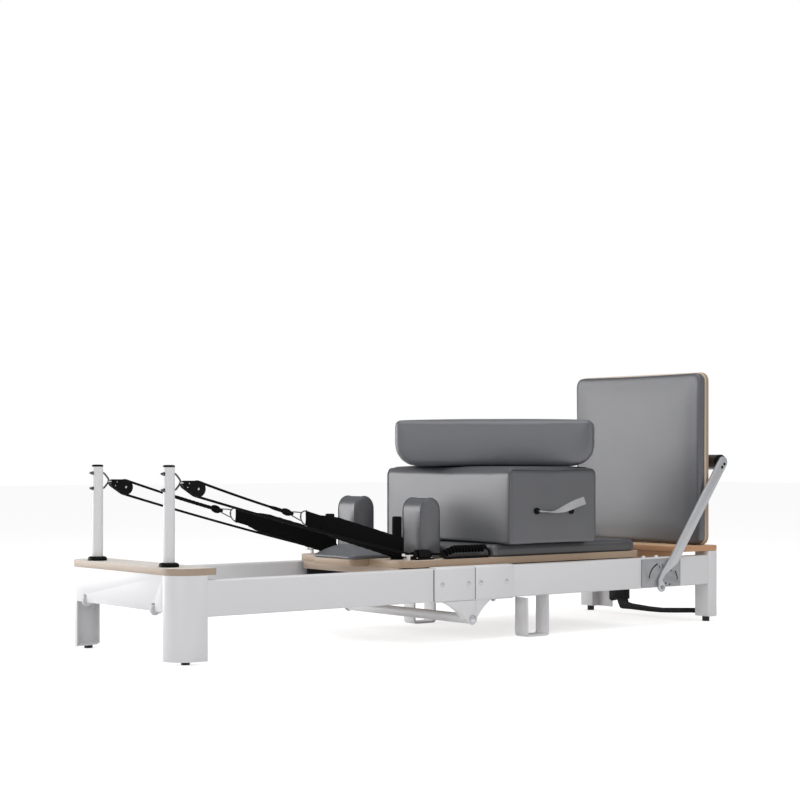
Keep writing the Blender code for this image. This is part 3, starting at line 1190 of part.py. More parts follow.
def main():
    white = material("white_powder_coat", "e6e6e7", 0.35)
    wood = material("birch_plywood", "cda98a", 0.45)
    silver = material("brushed_steel", "a9aaac", 0.35, 1.0)
    grey = material("grey_leatherette", "8a8b90", 0.55)
    black = material("black_webbing", "111114", 0.7)
    dark = material("black_coated_steel", "1a1a1c", 0.45)
    rubber = material("pale_nylon", "dcdcdc", 0.5)
    make_rails(white)
    make_left_legs(white)
    make_apron(white)
    make_transport_wheels(rubber)
    make_left_plate(wood)
    make_posts(white)
    make_pulleys(dark, silver)
    make_hinges(white)
    make_hinge_tube(white)
    make_right_legs(white)
    make_right_plate(wood)
    make_spring_bar(dark)
    make_quadrants(silver)
    make_lift_bar(dark)
    make_footbar(silver)
    make_jump_board(wood, grey)
    make_box(grey)
    make_bolster(grey)
    make_deck(wood)
    make_carriage_pad(grey)
    make_headrest(wood, grey)
    make_shoulder_rests(grey)
    make_pegs(dark)
    make_cleats(dark)
    make_carriage_frame(dark)
    make_cross_board(wood)
    make_carriage_wheels(rubber)
    make_springs(silver)
    make_ropes(black)
    make_straps(black)
    make_hanks(black)


clear_scene()
PARTS = collection("folding_reformer")
CUTTERS = collection("cutters")
ROOT = bpy.data.objects.new("reformer_origin", None)
PARTS.objects.link(ROOT)
ROOT.location = (-CENTRE_X, 0, 0)
main()
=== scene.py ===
"""Looks of a folding pilates reformer: finishes, cushions, ropes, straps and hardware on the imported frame.

Metres, +Z up. X runs from the pulley posts to the footbar. Design lengths along X are measured from the
left end plate's end, and at() turns them into the frame's own coordinates.
"""
import math

import bpy
import numpy as np
from mathutils import Matrix, Vector


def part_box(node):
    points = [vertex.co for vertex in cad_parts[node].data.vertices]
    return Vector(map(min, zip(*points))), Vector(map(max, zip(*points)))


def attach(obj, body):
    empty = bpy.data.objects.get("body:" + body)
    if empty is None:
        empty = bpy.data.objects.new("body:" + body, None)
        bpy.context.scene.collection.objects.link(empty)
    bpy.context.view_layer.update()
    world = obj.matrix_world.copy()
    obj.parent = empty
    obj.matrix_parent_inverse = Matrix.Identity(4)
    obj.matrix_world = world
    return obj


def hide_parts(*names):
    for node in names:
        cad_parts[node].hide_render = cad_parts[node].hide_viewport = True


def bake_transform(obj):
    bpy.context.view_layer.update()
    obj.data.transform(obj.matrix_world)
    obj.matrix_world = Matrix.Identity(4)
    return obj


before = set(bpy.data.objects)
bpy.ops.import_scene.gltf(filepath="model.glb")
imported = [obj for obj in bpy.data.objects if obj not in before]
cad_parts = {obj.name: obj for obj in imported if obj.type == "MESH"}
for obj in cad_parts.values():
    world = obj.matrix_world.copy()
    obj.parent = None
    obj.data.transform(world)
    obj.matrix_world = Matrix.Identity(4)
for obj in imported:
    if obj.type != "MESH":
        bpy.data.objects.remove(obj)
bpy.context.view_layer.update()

bl_info = {
    "name": "Folding pilates reformer",
    "version": (1, 0, 0),
    "blender": (4, 5, 0),
    "location": "View3D > Sidebar > Reformer",
    "description": "Builds the reformer's cushions, ropes, hardware, finishes and studio",
    "category": "Object",
}

LEFT_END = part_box("left_plate")[0][0]
SIDES = (("near", -1), ("far", 1))

# Outer faces, from the middle plane
RAIL_FACE = 0.3301
SLEEVE_FACE = 0.3333
QUADRANT_FACE = 0.3343

# Posts, and the screwed pieces on them
POST_X = 0.0475
POST_RADIUS = 0.0170
POST_FOOT = 0.2265
POST_TOP = 0.5690
EYE_BOLT_Z = 0.5225
PULLEY_NECK_Z = 0.5140

# Camera, solved from the frame's own lines
CAMERA_X = -2.5765
CAMERA_Y = -4.5971
CAMERA_Z = 0.5907
CAMERA_TURN = math.radians(-38.4145)
CAMERA_LENS = 78.82
CAMERA_SHIFT = 0.073

# Ropes, as the model lays them
ROPE_RADIUS = 0.0038
ROPE_SAG = 0.005
SHEAVE_X = 0.1421
SHEAVE_Y = 0.2125
SHEAVE_Z = 0.5015
ROPE_WRAP = 0.0216               # from the sheave's middle to the rope's middle
CLEAT_X = 0.922
CLEAT_LENGTH = 0.076
CLEAT_Y = 0.250
CLEAT_HEIGHT = 0.033
DECK_TOP = 0.2665
GAP = 0.0003
KNOT_X = 0.467
KNOT_Z = 0.428
PEG_X = 0.9117
PEG_Y = 0.1824
PEG_RADIUS = 0.0155
STRAP_Z = 0.305
STRAP_NARROW = 0.552
STRAP_LINK = 0.060
STRAP_BAR_X = 0.548              # the D-ring's straight bar
STRAP_WEBBING_END = 0.635
STRAP_PAD_X = 0.600
HANK_TURNS = 13
HANK_STEPS = 10                  # points on each turn
HANK_PITCH = 0.0140
HANK_COIL = 0.0092
HANK_START = 1.028
HANK_Y = 0.2715
HANK_Z = 0.2845
HANK_RISE = 0.0130
HANK_RETURN_Y = 0.2840


# Cloth on the cushions, and the angles below which a surface is shaded smooth
CLOTH_FRAMES = 20
EVENING_PASSES = 12
SWELL_ROOM = 0.006
SMALL_CELL = 0.005
REST_CELL = 0.004
HARD_ANGLE = 35
BAND_ANGLE = 50
SOFT_ANGLE = 60

# Strength of the white surroundings as a light
WORLD_LIGHT = 0.39


# Colours and shader nodes
def linear(code):
    """An sRGB hex colour as linear RGBA"""
    channels = [int(code[i:i + 2], 16) / 255 for i in (0, 2, 4)]
    return [c / 12.92 if c <= 0.04045 else ((c + 0.055) / 1.055) ** 2.4 for c in channels] + [1.0]


def shade(colour, share):
    """A colour made darker or lighter by a share"""
    return [min(1.0, c * share) for c in colour[:3]] + [1.0]


def colours():
    return bpy.context.scene.reformer_colours


def sizes():
    return bpy.context.scene.reformer_sizes


def add_node(tree, kind, inputs=None, **settings):
    """Adds a shader node: settings are its own properties, inputs are values or the sockets that feed it"""
    made = tree.nodes.new("ShaderNode" + kind)
    for name, value in settings.items():
        setattr(made, name, value)
    for key, value in (inputs or {}).items():
        if isinstance(value, bpy.types.NodeSocket):
            tree.links.new(value, made.inputs[key])
        else:
            made.inputs[key].default_value = value
    return made


class Finish:
    """A material while it is built, with short calls for the nodes that the finishes share"""

    def __init__(self, name, roughness, metallic=0.0, specular=None, coordinate="Object"):
        self.material = bpy.data.materials.new(name)
        self.material.use_nodes = True
        self.tree = self.material.node_tree
        self.shader = self.tree.nodes["Principled BSDF"]
        for key, value in (("Roughness", roughness), ("Metallic", metallic), ("Specular IOR Level", specular)):
            if value is not None:
                self.shader.inputs[key].default_value = value
        if coordinate:
            self.where = add_node(self.tree, "TexCoord").outputs[coordinate]

    def link(self, key, source):
        self.tree.links.new(source, self.shader.inputs[key])

    def noise(self, scale, detail=2.0, where=None, **more):
        inputs = {"Vector": self.where if where is None else where, "Scale": scale, "Detail": detail, **more}
        return add_node(self.tree, "TexNoise", inputs).outputs["Fac"]

    def cells(self, pitch):
        """Distance from the middle of cells that are pitch apart"""
        return add_node(self.tree, "TexVoronoi", {"Vector": self.where, "Scale": 1 / pitch}).outputs["Distance"]

    def stretched(self, scale):
        return add_node(self.tree, "Mapping", {"Vector": self.where, "Scale": scale}).outputs["Vector"]

    def split(self, vector):
        return add_node(self.tree, "SeparateXYZ", {"Vector": vector}).outputs

    def math(self, operation, *values):
        return add_node(self.tree, "Math", dict(enumerate(values)), operation=operation).outputs[0]

    def ramp(self, value, low=0.0, high=1.0, start=0.0, end=1.0):
        """The value's range from start to end, spread over low to high"""
        return add_node(self.tree, "MapRange", {"Value": value, "From Min": start, "From Max": end,
                                                "To Min": low, "To Max": high}).outputs["Result"]

    def mix(self, share, first, second):
        return add_node(self.tree, "Mix", {"Factor": share, "A": first, "B": second},
                        data_type="RGBA").outputs["Result"]

    def tones(self, share, colour, dark, light):
        """Between a darker and a lighter tone of the colour"""
        return self.mix(share, shade(colour, dark), shade(colour, light))

    def drift(self, colour, patches, spread):
        """The base colour drifts a little over patches of that many per metre"""
        self.link("Base Color", self.tones(self.noise(patches), colour, 1 - spread, 1 + spread))

    def bump(self, height, depth, strength):
        """Relief from a height field of 0 to 1 that is depth metres deep"""
        made = add_node(self.tree, "Bump", {"Height": height, "Distance": depth, "Strength": strength})
        self.link("Normal", made.outputs["Normal"])

    def sheen(self, value, low, high):
        """Roughness that varies from low to high"""
        self.link("Roughness", self.ramp(value, low, high))


def powder_coated_steel():
    """White powder-coated steel, oven cured: an even satin skin, its faint orange peel 2.5 mm across"""
    made = Finish("powder_coated_steel", 0.38)
    made.drift(colours().steel, 3.0, 0.012)
    made.bump(made.noise(1 / 0.0025, 1.0), 0.00003, 0.5)
    made.sheen(made.noise(14.0, 3.0), 0.33, 0.43)
    return made.material


def black_powder_coat():
    """Black powder-coated steel: satin, slightly grained"""
    made = Finish("black_powder_coat", 0.42, specular=0.12)
    made.drift(colours().black, 20.0, 0.15)
    made.bump(made.noise(1 / 0.0015), 0.00005, 0.6)
    return made.material


def moulded_nylon():
    """Black injection-moulded nylon: dull, with a spark-eroded grain of about 0.8 mm"""
    made = Finish("moulded_nylon", 0.5, specular=0.12)
    made.drift(colours().black, 35.0, 0.2)
    made.bump(made.cells(0.0008), 0.00005, 0.5)
    return made.material


def vulcanised_rubber():
    """Black rubber foot: matt and a little dusty"""
    made = Finish("vulcanised_rubber", 0.75)
    made.link("Base Color", made.mix(made.noise(90.0, 4.0), linear("101012"), linear("26262a")))
    return made.material


def cast_polyurethane():
    """Pale cast polyurethane tread: smooth and slightly waxy"""
    made = Finish("cast_polyurethane", 0.42)
    made.drift(linear("dcdcdd"), 60.0, 0.03)
    return made.material


def closed_cell_foam():
    """Black closed-cell foam sleeve: dull, with open cut cells of about 1 mm"""
    made = Finish("closed_cell_foam", 0.8, specular=0.1)
    made.drift(linear("09090a"), 60.0, 0.25)
    made.bump(made.cells(0.0012), 0.0002, 0.5)
    return made.material


def zinc_plated_steel():
    """Bright zinc-plated steel: soft grey reflections and faint streaks from barrel plating"""
    made = Finish("zinc_plated_steel", 0.3, 1.0)
    made.drift(linear("b9babd"), 40.0, 0.06)
    made.sheen(made.noise(350.0, 3.0), 0.22, 0.40)
    return made.material


def gunmetal_plate():
    """Drop-forged links and bent wire in dark nickel plating: grey mirror with fine tumbling marks"""
    made = Finish("gunmetal_plate", 0.25, 1.0)
    made.drift(linear("5c5d60"), 90.0, 0.12)
    made.sheen(made.noise(1 / 0.0012), 0.18, 0.34)
    return made.material


def black_chrome():
    """Tube in black chrome: near mirror, with hairlines along its length"""
    made = Finish("black_chrome", 0.16, specular=1.0)
    made.drift(linear("0b0b0c"), 9.0, 0.2)
    made.sheen(made.noise(1.0, where=made.stretched((900.0, 6.0, 900.0))), 0.10, 0.26)
    return made.material


def brushed_aluminium(name, colour):
    """Brushed aluminium plate: satin, its brush lines lying along X and about 0.4 mm apart"""
    made = Finish(name, 0.38, 0.6)
    lines = made.noise(1.0, where=made.stretched((12.0, 1 / 0.0008, 1 / 0.0008)))
    made.link("Base Color", made.tones(lines, colour, 0.93, 1.07))
    made.sheen(lines, 0.30, 0.46)
    made.bump(lines, 0.00003, 0.4)
    return made.material


def birch_plywood(name, across, grain, veneer, cut):
    """Lacquered birch plywood: across is the axis of its thickness, grain the axis of its face veneer.
    The faces show long soft figure, and the cut edges the stacked veneers, 1.6 mm each"""
    made = Finish(name, 0.4)
    figure_scale, pore_scale = [1 / 0.012] * 3, [1 / 0.0011] * 3
    figure_scale[grain], pore_scale[grain] = 1 / 0.35, 1 / 0.010
    figure = made.noise(1.0, 6.0, made.stretched(figure_scale), Distortion=0.6)
    pore = made.noise(1.0, 3.0, made.stretched(pore_scale))
    face = made.mix(made.ramp(pore, 0.0, 0.35, 0.55, 0.75), made.tones(figure, veneer, 0.88, 1.10),
                    shade(veneer, 0.65))
    stack = made.math("SINE", made.math("MULTIPLY", made.split(made.where)[across], math.pi / 0.0016))
    edge = made.tones(made.ramp(stack, start=-0.5, end=0.5), cut, 0.84, 1.10)
    facing = made.split(add_node(made.tree, "NewGeometry").outputs["Normal"])[across]
    flat = made.ramp(made.math("ABSOLUTE", facing), start=0.55, end=0.75)
    made.link("Base Color", made.mix(flat, edge, face))
    made.bump(pore, 0.00005, 0.4)
    made.sheen(figure, 0.34, 0.48)
    return made.material


def leatherette(name, colour, roughness=0.39):
    """Polyurethane leatherette on foam: embossed pebbles about 1.6 mm across, soft broad sheen"""
    made = Finish(name, roughness, specular=1.0)
    made.drift(colour, 7.0, 0.05)
    pebble = made.cells(0.0016)
    crease = made.noise(45.0, 4.0, Distortion=0.8)
    made.bump(made.math("MULTIPLY_ADD", crease, 2.5, pebble), 0.00012, 0.5)
    made.sheen(pebble, roughness - 0.05, roughness + 0.12)
    return made.material


def polyester_webbing(name, colour):
    """Woven polyester webbing: ribs 1.8 mm apart along the band, crossed by finer ends, on the UV of sweep()"""
    made = Finish(name, 0.8, specular=0.12, coordinate="UV")
    parts = made.split(made.where)
    ribs = made.math("SINE", made.math("MULTIPLY", parts["Y"], 2 * math.pi / 0.0018))
    ends = made.math("SINE", made.math("MULTIPLY", parts["X"], 2 * math.pi / 0.0024))
    height = made.ramp(made.math("MULTIPLY", ribs, ends), start=-1.0)
    # The colour follows the weave's relief: darker in the grooves as painted shade, lighter on the ribs as painted
    # highlight
    made.link("Base Color", made.tones(height, colour, 0.6, 1.5))
    made.bump(height, 0.0003, 0.7)
    return made.material


def braided_rope():
    """Braided polyester rope: strands crossing at a slant, 8 round the rope, on the UV of sweep()"""
    made = Finish("braided_rope", 0.7, specular=0.12, coordinate="UV")
    parts = made.split(made.where)
    around = made.math("MULTIPLY", parts["X"], 8 * math.pi)
    along = made.math("MULTIPLY", parts["Y"], math.pi / 0.0045)
    rising, falling = (made.math("SINE", made.math(way, around, along)) for way in ("ADD", "SUBTRACT"))
    height = made.math("ABSOLUTE", made.math("MULTIPLY", rising, falling))
    # The colour follows the braid's relief: darker between the strands as painted shade, lighter on their crowns as
    # painted highlight
    made.link("Base Color", made.tones(height, colours().rope, 0.5, 1.9))
    made.bump(height, 0.0005, 0.8)
    return made.material


def studio_floor():
    """Seamless pale floor that reads white to the eye and in reflections, and still takes the shadow"""
    made = Finish("studio_floor", 0.9, coordinate=None)
    made.shader.inputs["Base Color"].default_value = linear("e2e2e2")
    made.shader.inputs["Emission Color"].default_value = (1.0, 1.0, 1.0, 1.0)
    rays = add_node(made.tree, "LightPath").outputs
    seen = made.math("MAXIMUM", rays["Is Camera Ray"], rays["Is Glossy Ray"])
    seen = made.math("MAXIMUM", seen, rays["Is Transmission Ray"])
    made.link("Emission Strength", made.math("MULTIPLY", seen, sizes().floor_lift))
    return made.material


FINISHES = {
    "steel": powder_coated_steel,
    "black steel": black_powder_coat,
    "nylon": moulded_nylon,
    "rubber": vulcanised_rubber,
    "tread": cast_polyurethane,
    "foam": closed_cell_foam,
    "zinc": zinc_plated_steel,
    "polished": black_chrome,
    # Painted light and shade: the arms take the aluminium lightened 1.15 as painted light, the adjustment plates the
    # same aluminium darkened 0.70 as painted shade
    "aluminium": lambda: brushed_aluminium("brushed_aluminium", shade(colours().aluminium, 1.15)),
    "shaded aluminium": lambda: brushed_aluminium("brushed_aluminium_painted_shade", shade(colours().aluminium, 0.70)),
    "plate": lambda: birch_plywood("birch_plywood_end_plate", 2, 1, colours().pale_wood, colours().pale_edge),
    "deck": lambda: birch_plywood("birch_plywood_deck", 2, 0, colours().wood, colours().wood_edge),
    "board": lambda: birch_plywood("birch_plywood_board", 0, 2, colours().wood, colours().wood_edge),
    "warm plate": lambda: birch_plywood("birch_plywood_footbar_end", 2, 1, colours().warm_wood,
                                        colours().warm_edge),
    "leather": lambda: leatherette("polyurethane_leatherette", colours().leather),
    # Painted light: the same leatherette lightened 1.6 times, for the bolster and the headrest pad
    "painted light leather": lambda: leatherette("polyurethane_leatherette_painted_light", shade(colours().leather, 1.6)),
    # Painted shade: the same leatherette darkened to 0.35, for the carriage pad's long sides
    "side shade leather": lambda: leatherette("leatherette_painted_side_shade", shade(colours().leather, 0.35), 0.5),
    "piping": lambda: leatherette("leatherette_piping", shade(colours().leather, 0.8), 0.4),
    "webbing": lambda: polyester_webbing("polyester_webbing", colours().rope),
    "grey webbing": lambda: polyester_webbing("grey_polyester_webbing", linear("b4b4b6")),
    "gunmetal": gunmetal_plate,
    "rope": braided_rope,
    "floor": studio_floor,
}
MADE = {}


def finish(name):
    if name not in MADE:
        MADE[name] = FINISHES[name]()
    return MADE[name]


# Making and shaping
def at(x, y, z):
    """A design point in the frame's coordinates"""
    return Vector((x + LEFT_END, y, z))


def corners(node):
    low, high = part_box(node)
    return Vector(low), Vector(high)


def deselect():
    if bpy.context.mode != "OBJECT":
        bpy.ops.object.mode_set(mode="OBJECT")
    bpy.ops.object.select_all(action="DESELECT")


def activate(obj):
    deselect()
    obj.select_set(True)
    bpy.context.view_layer.objects.active = obj


def new_object(name, data):
    obj = bpy.data.objects.new(name, data)
    bpy.context.collection.objects.link(obj)
    return obj


def get_points(obj):
    return np.array([v.co for v in obj.data.vertices])


def set_points(obj, points):
    obj.data.vertices.foreach_set("co", points.ravel())
    obj.data.update()


def apply_step(obj, kind, **settings):
    """Adds a modifier and applies it"""
    activate(obj)
    step = obj.modifiers.new(kind.lower(), kind)
    for name, value in settings.items():
        setattr(step, name, value)
    bpy.ops.object.modifier_apply(modifier=step.name)


def round_edges(obj, width, segments=2, angle=30):
    if width > 0:
        apply_step(obj, "BEVEL", width=width, segments=segments, limit_method="ANGLE",
                   angle_limit=math.radians(angle), use_clamp_overlap=True)
    return obj


def primitive(name, bevel, segments=2, angle=30):
    """Names the primitive just added, sets it in its place and eases its edges"""
    obj = bpy.context.object
    obj.name = name
    bpy.ops.object.transform_apply(location=True, rotation=True, scale=True)
    return round_edges(obj, bevel, segments, angle)


def block(name, low, high, bevel=0.001, segments=2):
    """A bar or plate between two corners"""
    deselect()
    low, high = Vector(low), Vector(high)
    bpy.ops.mesh.primitive_cube_add(size=1, location=(low + high) / 2, scale=high - low)
    return primitive(name, bevel, segments)


def rod(name, start, end, radius, sides=32, bevel=0.0006):
    """A round bar from start to end"""
    deselect()
    start, end = Vector(start), Vector(end)
    turn = (end - start).to_track_quat("Z", "X").to_euler()
    bpy.ops.mesh.primitive_cylinder_add(vertices=sides, radius=radius, depth=(end - start).length,
                                        location=(start + end) / 2, rotation=turn)
    return primitive(name, bevel, angle=40)


def lathe(name, profile, origin, axis, steps=48):
    """A turned piece from a profile of (radius, height), turned by a Screw about its own axis"""
    mesh = bpy.data.meshes.new(name)
    closed = profile[0][0] > 0
    rows = list(range(len(profile)))
    edges = list(zip(rows, rows[1:])) + ([(rows[-1], rows[0])] if closed else [])
    mesh.from_pydata([(r, 0, h) for r, h in profile], edges, [])
    obj = new_object(name, mesh)
    apply_step(obj, "SCREW", steps=steps, render_steps=steps, use_merge_vertices=True, merge_threshold=0.00001,
               use_normal_calculate=True)
    obj.data.transform(Matrix.Translation(origin) @ Vector(axis).to_track_quat("Z", "X").to_matrix().to_4x4())
    return obj


def mirrored(profile):
    """A profile's upper half with its lower half added"""
    return profile + [(radius, -height) for radius, height in reversed(profile)]


def curved(points, closed=False, steps=6):
    """Points on a smooth curve through given points"""
    points = [Vector(p) for p in points]
    if closed:
        padded = [points[-1]] + points + points[:2]
    else:
        padded = [points[0] * 2 - points[1]] + points + [points[-1] * 2 - points[-2]]
    made = []
    for a, b, c, d in zip(padded, padded[1:], padded[2:], padded[3:]):
        for i in range(steps):
            t = i / steps
            made.append(0.5 * (2 * b + (c - a) * t + (2 * a - 5 * b + 4 * c - d) * t * t
                               + (3 * b - 3 * c + d - a) * t ** 3))
    if not closed:
        made.append(points[-1])
    return made


def polyline(name, points, closed, **settings):
    """A curve through points, made into a mesh"""
    curve = bpy.data.curves.new(name, "CURVE")
    for key, value in settings.items():
        setattr(curve, key, value)
    spline = curve.splines.new("POLY")
    spline.points.add(len(points) - 1)
    for slot, point in zip(spline.points, points):
        slot.co = (*point, 1)
    spline.use_cyclic_u = closed
    activate(new_object(name, curve))
    bpy.ops.object.convert(target="MESH")
    return bpy.context.object


def wire(name, points, radius, closed=False, resolution=4):
    """Round wire bent along points"""
    return polyline(name, points, closed, dimensions="3D", bevel_depth=radius, bevel_resolution=resolution,
                    use_fill_caps=not closed)


def plate(name, outline, thickness, place, bevel):
    """A flat piece: its outline filled, put in place and its edges eased"""
    obj = polyline(name, [(u, v, 0) for u, v in outline], True, dimensions="2D", fill_mode="BOTH",
                   extrude=thickness / 2)
    clean(obj)
    obj.data.transform(place)
    return round_edges(obj, bevel)


def clean(obj):
    """Doubles merged, flat triangles made whole faces"""
    activate(obj)
    bpy.ops.object.mode_set(mode="EDIT")
    bpy.ops.mesh.select_all(action="SELECT")
    bpy.ops.mesh.remove_doubles(threshold=0.00001)
    bpy.ops.mesh.dissolve_limited(angle_limit=math.radians(0.5))
    bpy.ops.object.mode_set(mode="OBJECT")
    return obj


def arc(cu, cv, radius, start, end, steps):
    angles = np.radians(np.linspace(start, end, steps + 1))
    return [(cu + radius * math.cos(a), cv + radius * math.sin(a)) for a in angles]


def sweep(name, path, sections, up=None, closed=False):
    """A skin over sections along a path, each a list of (side, up) offsets. Its UV holds the share of the way
    round and the metres along. Without up the sections keep the least twist."""
    path = [Vector(p) for p in path]
    count, sides = len(path), len(sections[0])
    rings, last = [], None
    for i, point in enumerate(path):
        before = path[i - 1] if (i or closed) else path[0]
        after = path[(i + 1) % count] if (i + 1 < count or closed) else path[-1]
        along = (after - before).normalized()
        if up is not None:
            side = along.cross(Vector(up)).normalized()
        else:
            if last is None:
                guess = Vector((0, 0, 1)) if abs(along.z) < 0.9 else Vector((1, 0, 0))
                last = along.cross(guess).normalized()
            side = last = (last - along * last.dot(along)).normalized()
        rise = side.cross(along).normalized()
        rings.append([point + side * s + rise * u for s, u in sections[i % len(sections)]])
    mesh = bpy.data.meshes.new(name)
    verts = [v for ring in rings for v in ring]
    faces, texture = [], []
    lengths = np.concatenate(([0], np.cumsum([(b - a).length for a, b in zip(path, path[1:])])))
    round_the = np.linspace(0, 1, sides + 1)
    stretches = count if closed else count - 1
    for i in range(stretches):
        j = (i + 1) % count
        v0 = float(lengths[i])
        v1 = float(lengths[j]) if j else float(lengths[i]) + (path[0] - path[i]).length
        for k in range(sides):
            m = (k + 1) % sides
            faces.append((i * sides + k, i * sides + m, j * sides + m, j * sides + k))
            texture += [(round_the[k], v0), (round_the[k + 1], v0), (round_the[k + 1], v1), (round_the[k], v1)]
    if not closed:
        faces.append(tuple(reversed(range(sides))))
        texture += [(0.5, 0.0)] * sides
        faces.append(tuple((count - 1) * sides + k for k in range(sides)))
        texture += [(0.5, float(lengths[-1]))] * sides
    mesh.from_pydata(verts, [], faces)
    layer = mesh.uv_layers.new(name="along")
    for slot, value in zip(layer.data, texture):
        slot.uv = value
    return new_object(name, mesh)


def round_section(radius, sides):
    """A circle's points"""
    return [(radius * math.cos(a), radius * math.sin(a)) for a in np.linspace(0, 2 * math.pi, sides + 1)[:-1]]


def band_section(width, thickness):
    """A flat band's section, its two edges rounded"""
    half, r = width / 2, thickness / 2
    points = []
    for start, middle in ((0, half - r), (math.pi, r - half)):
        points += [(r * math.cos(a), middle + r * math.sin(a)) for a in np.linspace(start, start + math.pi, 5)]
    return points


def join(name, objs):
    """Several pieces as one object"""
    deselect()
    for obj in objs:
        obj.select_set(True)
    bpy.context.view_layer.objects.active = objs[0]
    if len(objs) > 1:
        bpy.ops.object.join()
    objs[0].name = name
    return objs[0]


def twin(obj, name):
    """The same piece mirrored to the far side, with its own mesh"""
    mesh = obj.data.copy()
    mesh.transform(Matrix.Diagonal((1, -1, 1, 1)))
    mesh.flip_normals()
    return new_object(name, mesh)


def dress(obj, name, material, body=None, replaces=(), angle=HARD_ANGLE):
    """Normals out, smooth by angle, then its finish, its body and the CAD pieces that it stands for"""
    activate(obj)
    obj.name = name
    bpy.ops.object.transform_apply(location=True, rotation=True, scale=True)
    bpy.ops.object.mode_set(mode="EDIT")
    bpy.ops.mesh.select_all(action="SELECT")
    bpy.ops.mesh.remove_doubles(threshold=0.000005)
    bpy.ops.mesh.normals_make_consistent(inside=False)
    bpy.ops.object.mode_set(mode="OBJECT")
    bpy.ops.object.shade_smooth_by_angle(angle=math.radians(angle))
    obj.data.materials.clear()
    obj.data.materials.append(finish(material))
    if body:
        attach(obj, body)
    if replaces:
        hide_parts(*replaces)
    return obj


def pair(piece, name, material, slot, body, node=None):
    """Dresses a near piece and its mirrored twin. Their names, and the CAD pieces', end with the side"""
    far = twin(piece, name + "_far")
    for label, obj in (("near", piece), ("far", far)):
        dress(obj, "%s_%s" % (name, label), material, body, (node + label,) if node else ())


def studs(profile, places, axis, steps):
    """The same turned head at several places, as one object"""
    return join("studs", [lathe("stud", profile, place, axis, steps) for place in places])


def paint(obj, material, test):
    """Faces whose middle passes the test take another finish"""
    obj.data.materials.append(finish(material))
    index = len(obj.data.materials) - 1
    for face in obj.data.polygons:
        if test(face.center):
            face.material_index = index


def copy_node(node):
    """A copy of a CAD piece's mesh as a new object, its triangles merged into whole faces"""
    obj = new_object(node + "_copy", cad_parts[node].data.copy())
    obj.data.materials.clear()
    return clean(obj)


def refine(node, body, material, width=0.001, segments=2):
    """A CAD piece with its edges eased, standing for the plain one"""
    obj = round_edges(copy_node(node), width, segments)
    return dress(obj, node + "_finished", material, body, (node,))


# Routes that the cords follow
def strap_line(x):
    """Height of the strap's middle above design x"""
    return STRAP_Z + (KNOT_Z - STRAP_Z) / (KNOT_X - PEG_X) * (x - PEG_X)


def rope_y(x):
    """Distance of the upper run from the middle plane"""
    return SHEAVE_Y + (PEG_Y - SHEAVE_Y) * (x - SHEAVE_X) / (PEG_X - SHEAVE_X)


def rope_route(side):
    """From the cleat up to the sheave's underside, round it, and back down to the strap's link"""
    lower = (CLEAT_X - GAP - ROPE_RADIUS * 0.35, CLEAT_Y, DECK_TOP + GAP + CLEAT_HEIGHT * 0.5)
    low_turn = math.degrees(math.atan2(SHEAVE_Z - ROPE_WRAP - lower[2], SHEAVE_X - lower[0])) + 90
    high_turn = math.degrees(math.atan2(KNOT_Z - SHEAVE_Z - ROPE_WRAP, KNOT_X - SHEAVE_X)) + 90
    turn = arc(SHEAVE_X, SHEAVE_Z, ROPE_WRAP, high_turn, low_turn, 12)[::-1]
    first, last = turn[0], turn[-1]
    points = []
    for share in np.linspace(0, 1, 36)[:-1]:
        sag = 4 * ROPE_SAG * share * (1 - share)
        points.append(at(lower[0] + (first[0] - lower[0]) * share,
                         side * (lower[1] + (SHEAVE_Y - lower[1]) * share),
                         lower[2] + (first[1] - lower[2]) * share - sag))
    points += [at(x, side * SHEAVE_Y, z) for x, z in turn]
    end_x = STRAP_NARROW - STRAP_LINK
    for share in np.linspace(0, 1, 16)[1:]:
        x = last[0] + (end_x - last[0]) * share
        sag = 2 * ROPE_SAG * share * (1 - share)
        points.append(at(x, side * rope_y(x), last[1] + (strap_line(end_x) - last[1]) * share - sag))
    return points


def hank_height(x):
    """Height of the hank's core: it leaves the deck at the cleat's end and arches up"""
    share = min(max((x - HANK_START) / 0.055, 0), 1)
    return HANK_Z + HANK_RISE * share * share * (3 - 2 * share)


def hank_route(side):
    """Out of the cleat, along the core, back under it, and 13 turns round the core"""
    x0, x1 = HANK_START, HANK_START + HANK_TURNS * HANK_PITCH
    floor = DECK_TOP + ROPE_RADIUS + 0.0005
    y, z = HANK_Y, hank_height(x1)
    exit_x = CLEAT_X + CLEAT_LENGTH + GAP
    exit_z = DECK_TOP + GAP + CLEAT_HEIGHT * 0.5
    points = [(exit_x, CLEAT_Y, exit_z), (exit_x + 0.008, CLEAT_Y, exit_z)]
    points += [(x0 - 0.010, y - 0.006, HANK_Z - 0.001), (x0, y, HANK_Z)]
    points += [(x, y, hank_height(x)) for x in np.linspace(x0, x1 + 0.002, 16)[1:]]
    half = (z - floor) / 2
    for a in np.radians(np.linspace(70, -70, 7)):
        across = (HANK_Y + HANK_RETURN_Y) / 2 - math.sin(a) * (HANK_RETURN_Y - HANK_Y) / 2
        points.append((x1 + 0.002 + 0.010 * math.cos(a), across, floor + half + half * math.sin(a)))
    points += [(x, HANK_RETURN_Y, floor) for x in np.linspace(x1 - 0.004, x0 + 0.010, 10)]
    points += [(x0 - 0.004, HANK_RETURN_Y, floor + 0.002), (x0 - 0.008, HANK_RETURN_Y + 0.001, floor + 0.009)]
    for i in range(HANK_TURNS * HANK_STEPS + 1):
        a = math.radians(200) + 2 * math.pi * i / HANK_STEPS
        x = x0 + 0.002 + HANK_PITCH * i / HANK_STEPS * 0.975
        points.append((x, y - HANK_COIL * math.cos(a), hank_height(x) + HANK_COIL * math.sin(a)))
    return [at(x, side * y, z) for x, y, z in points]


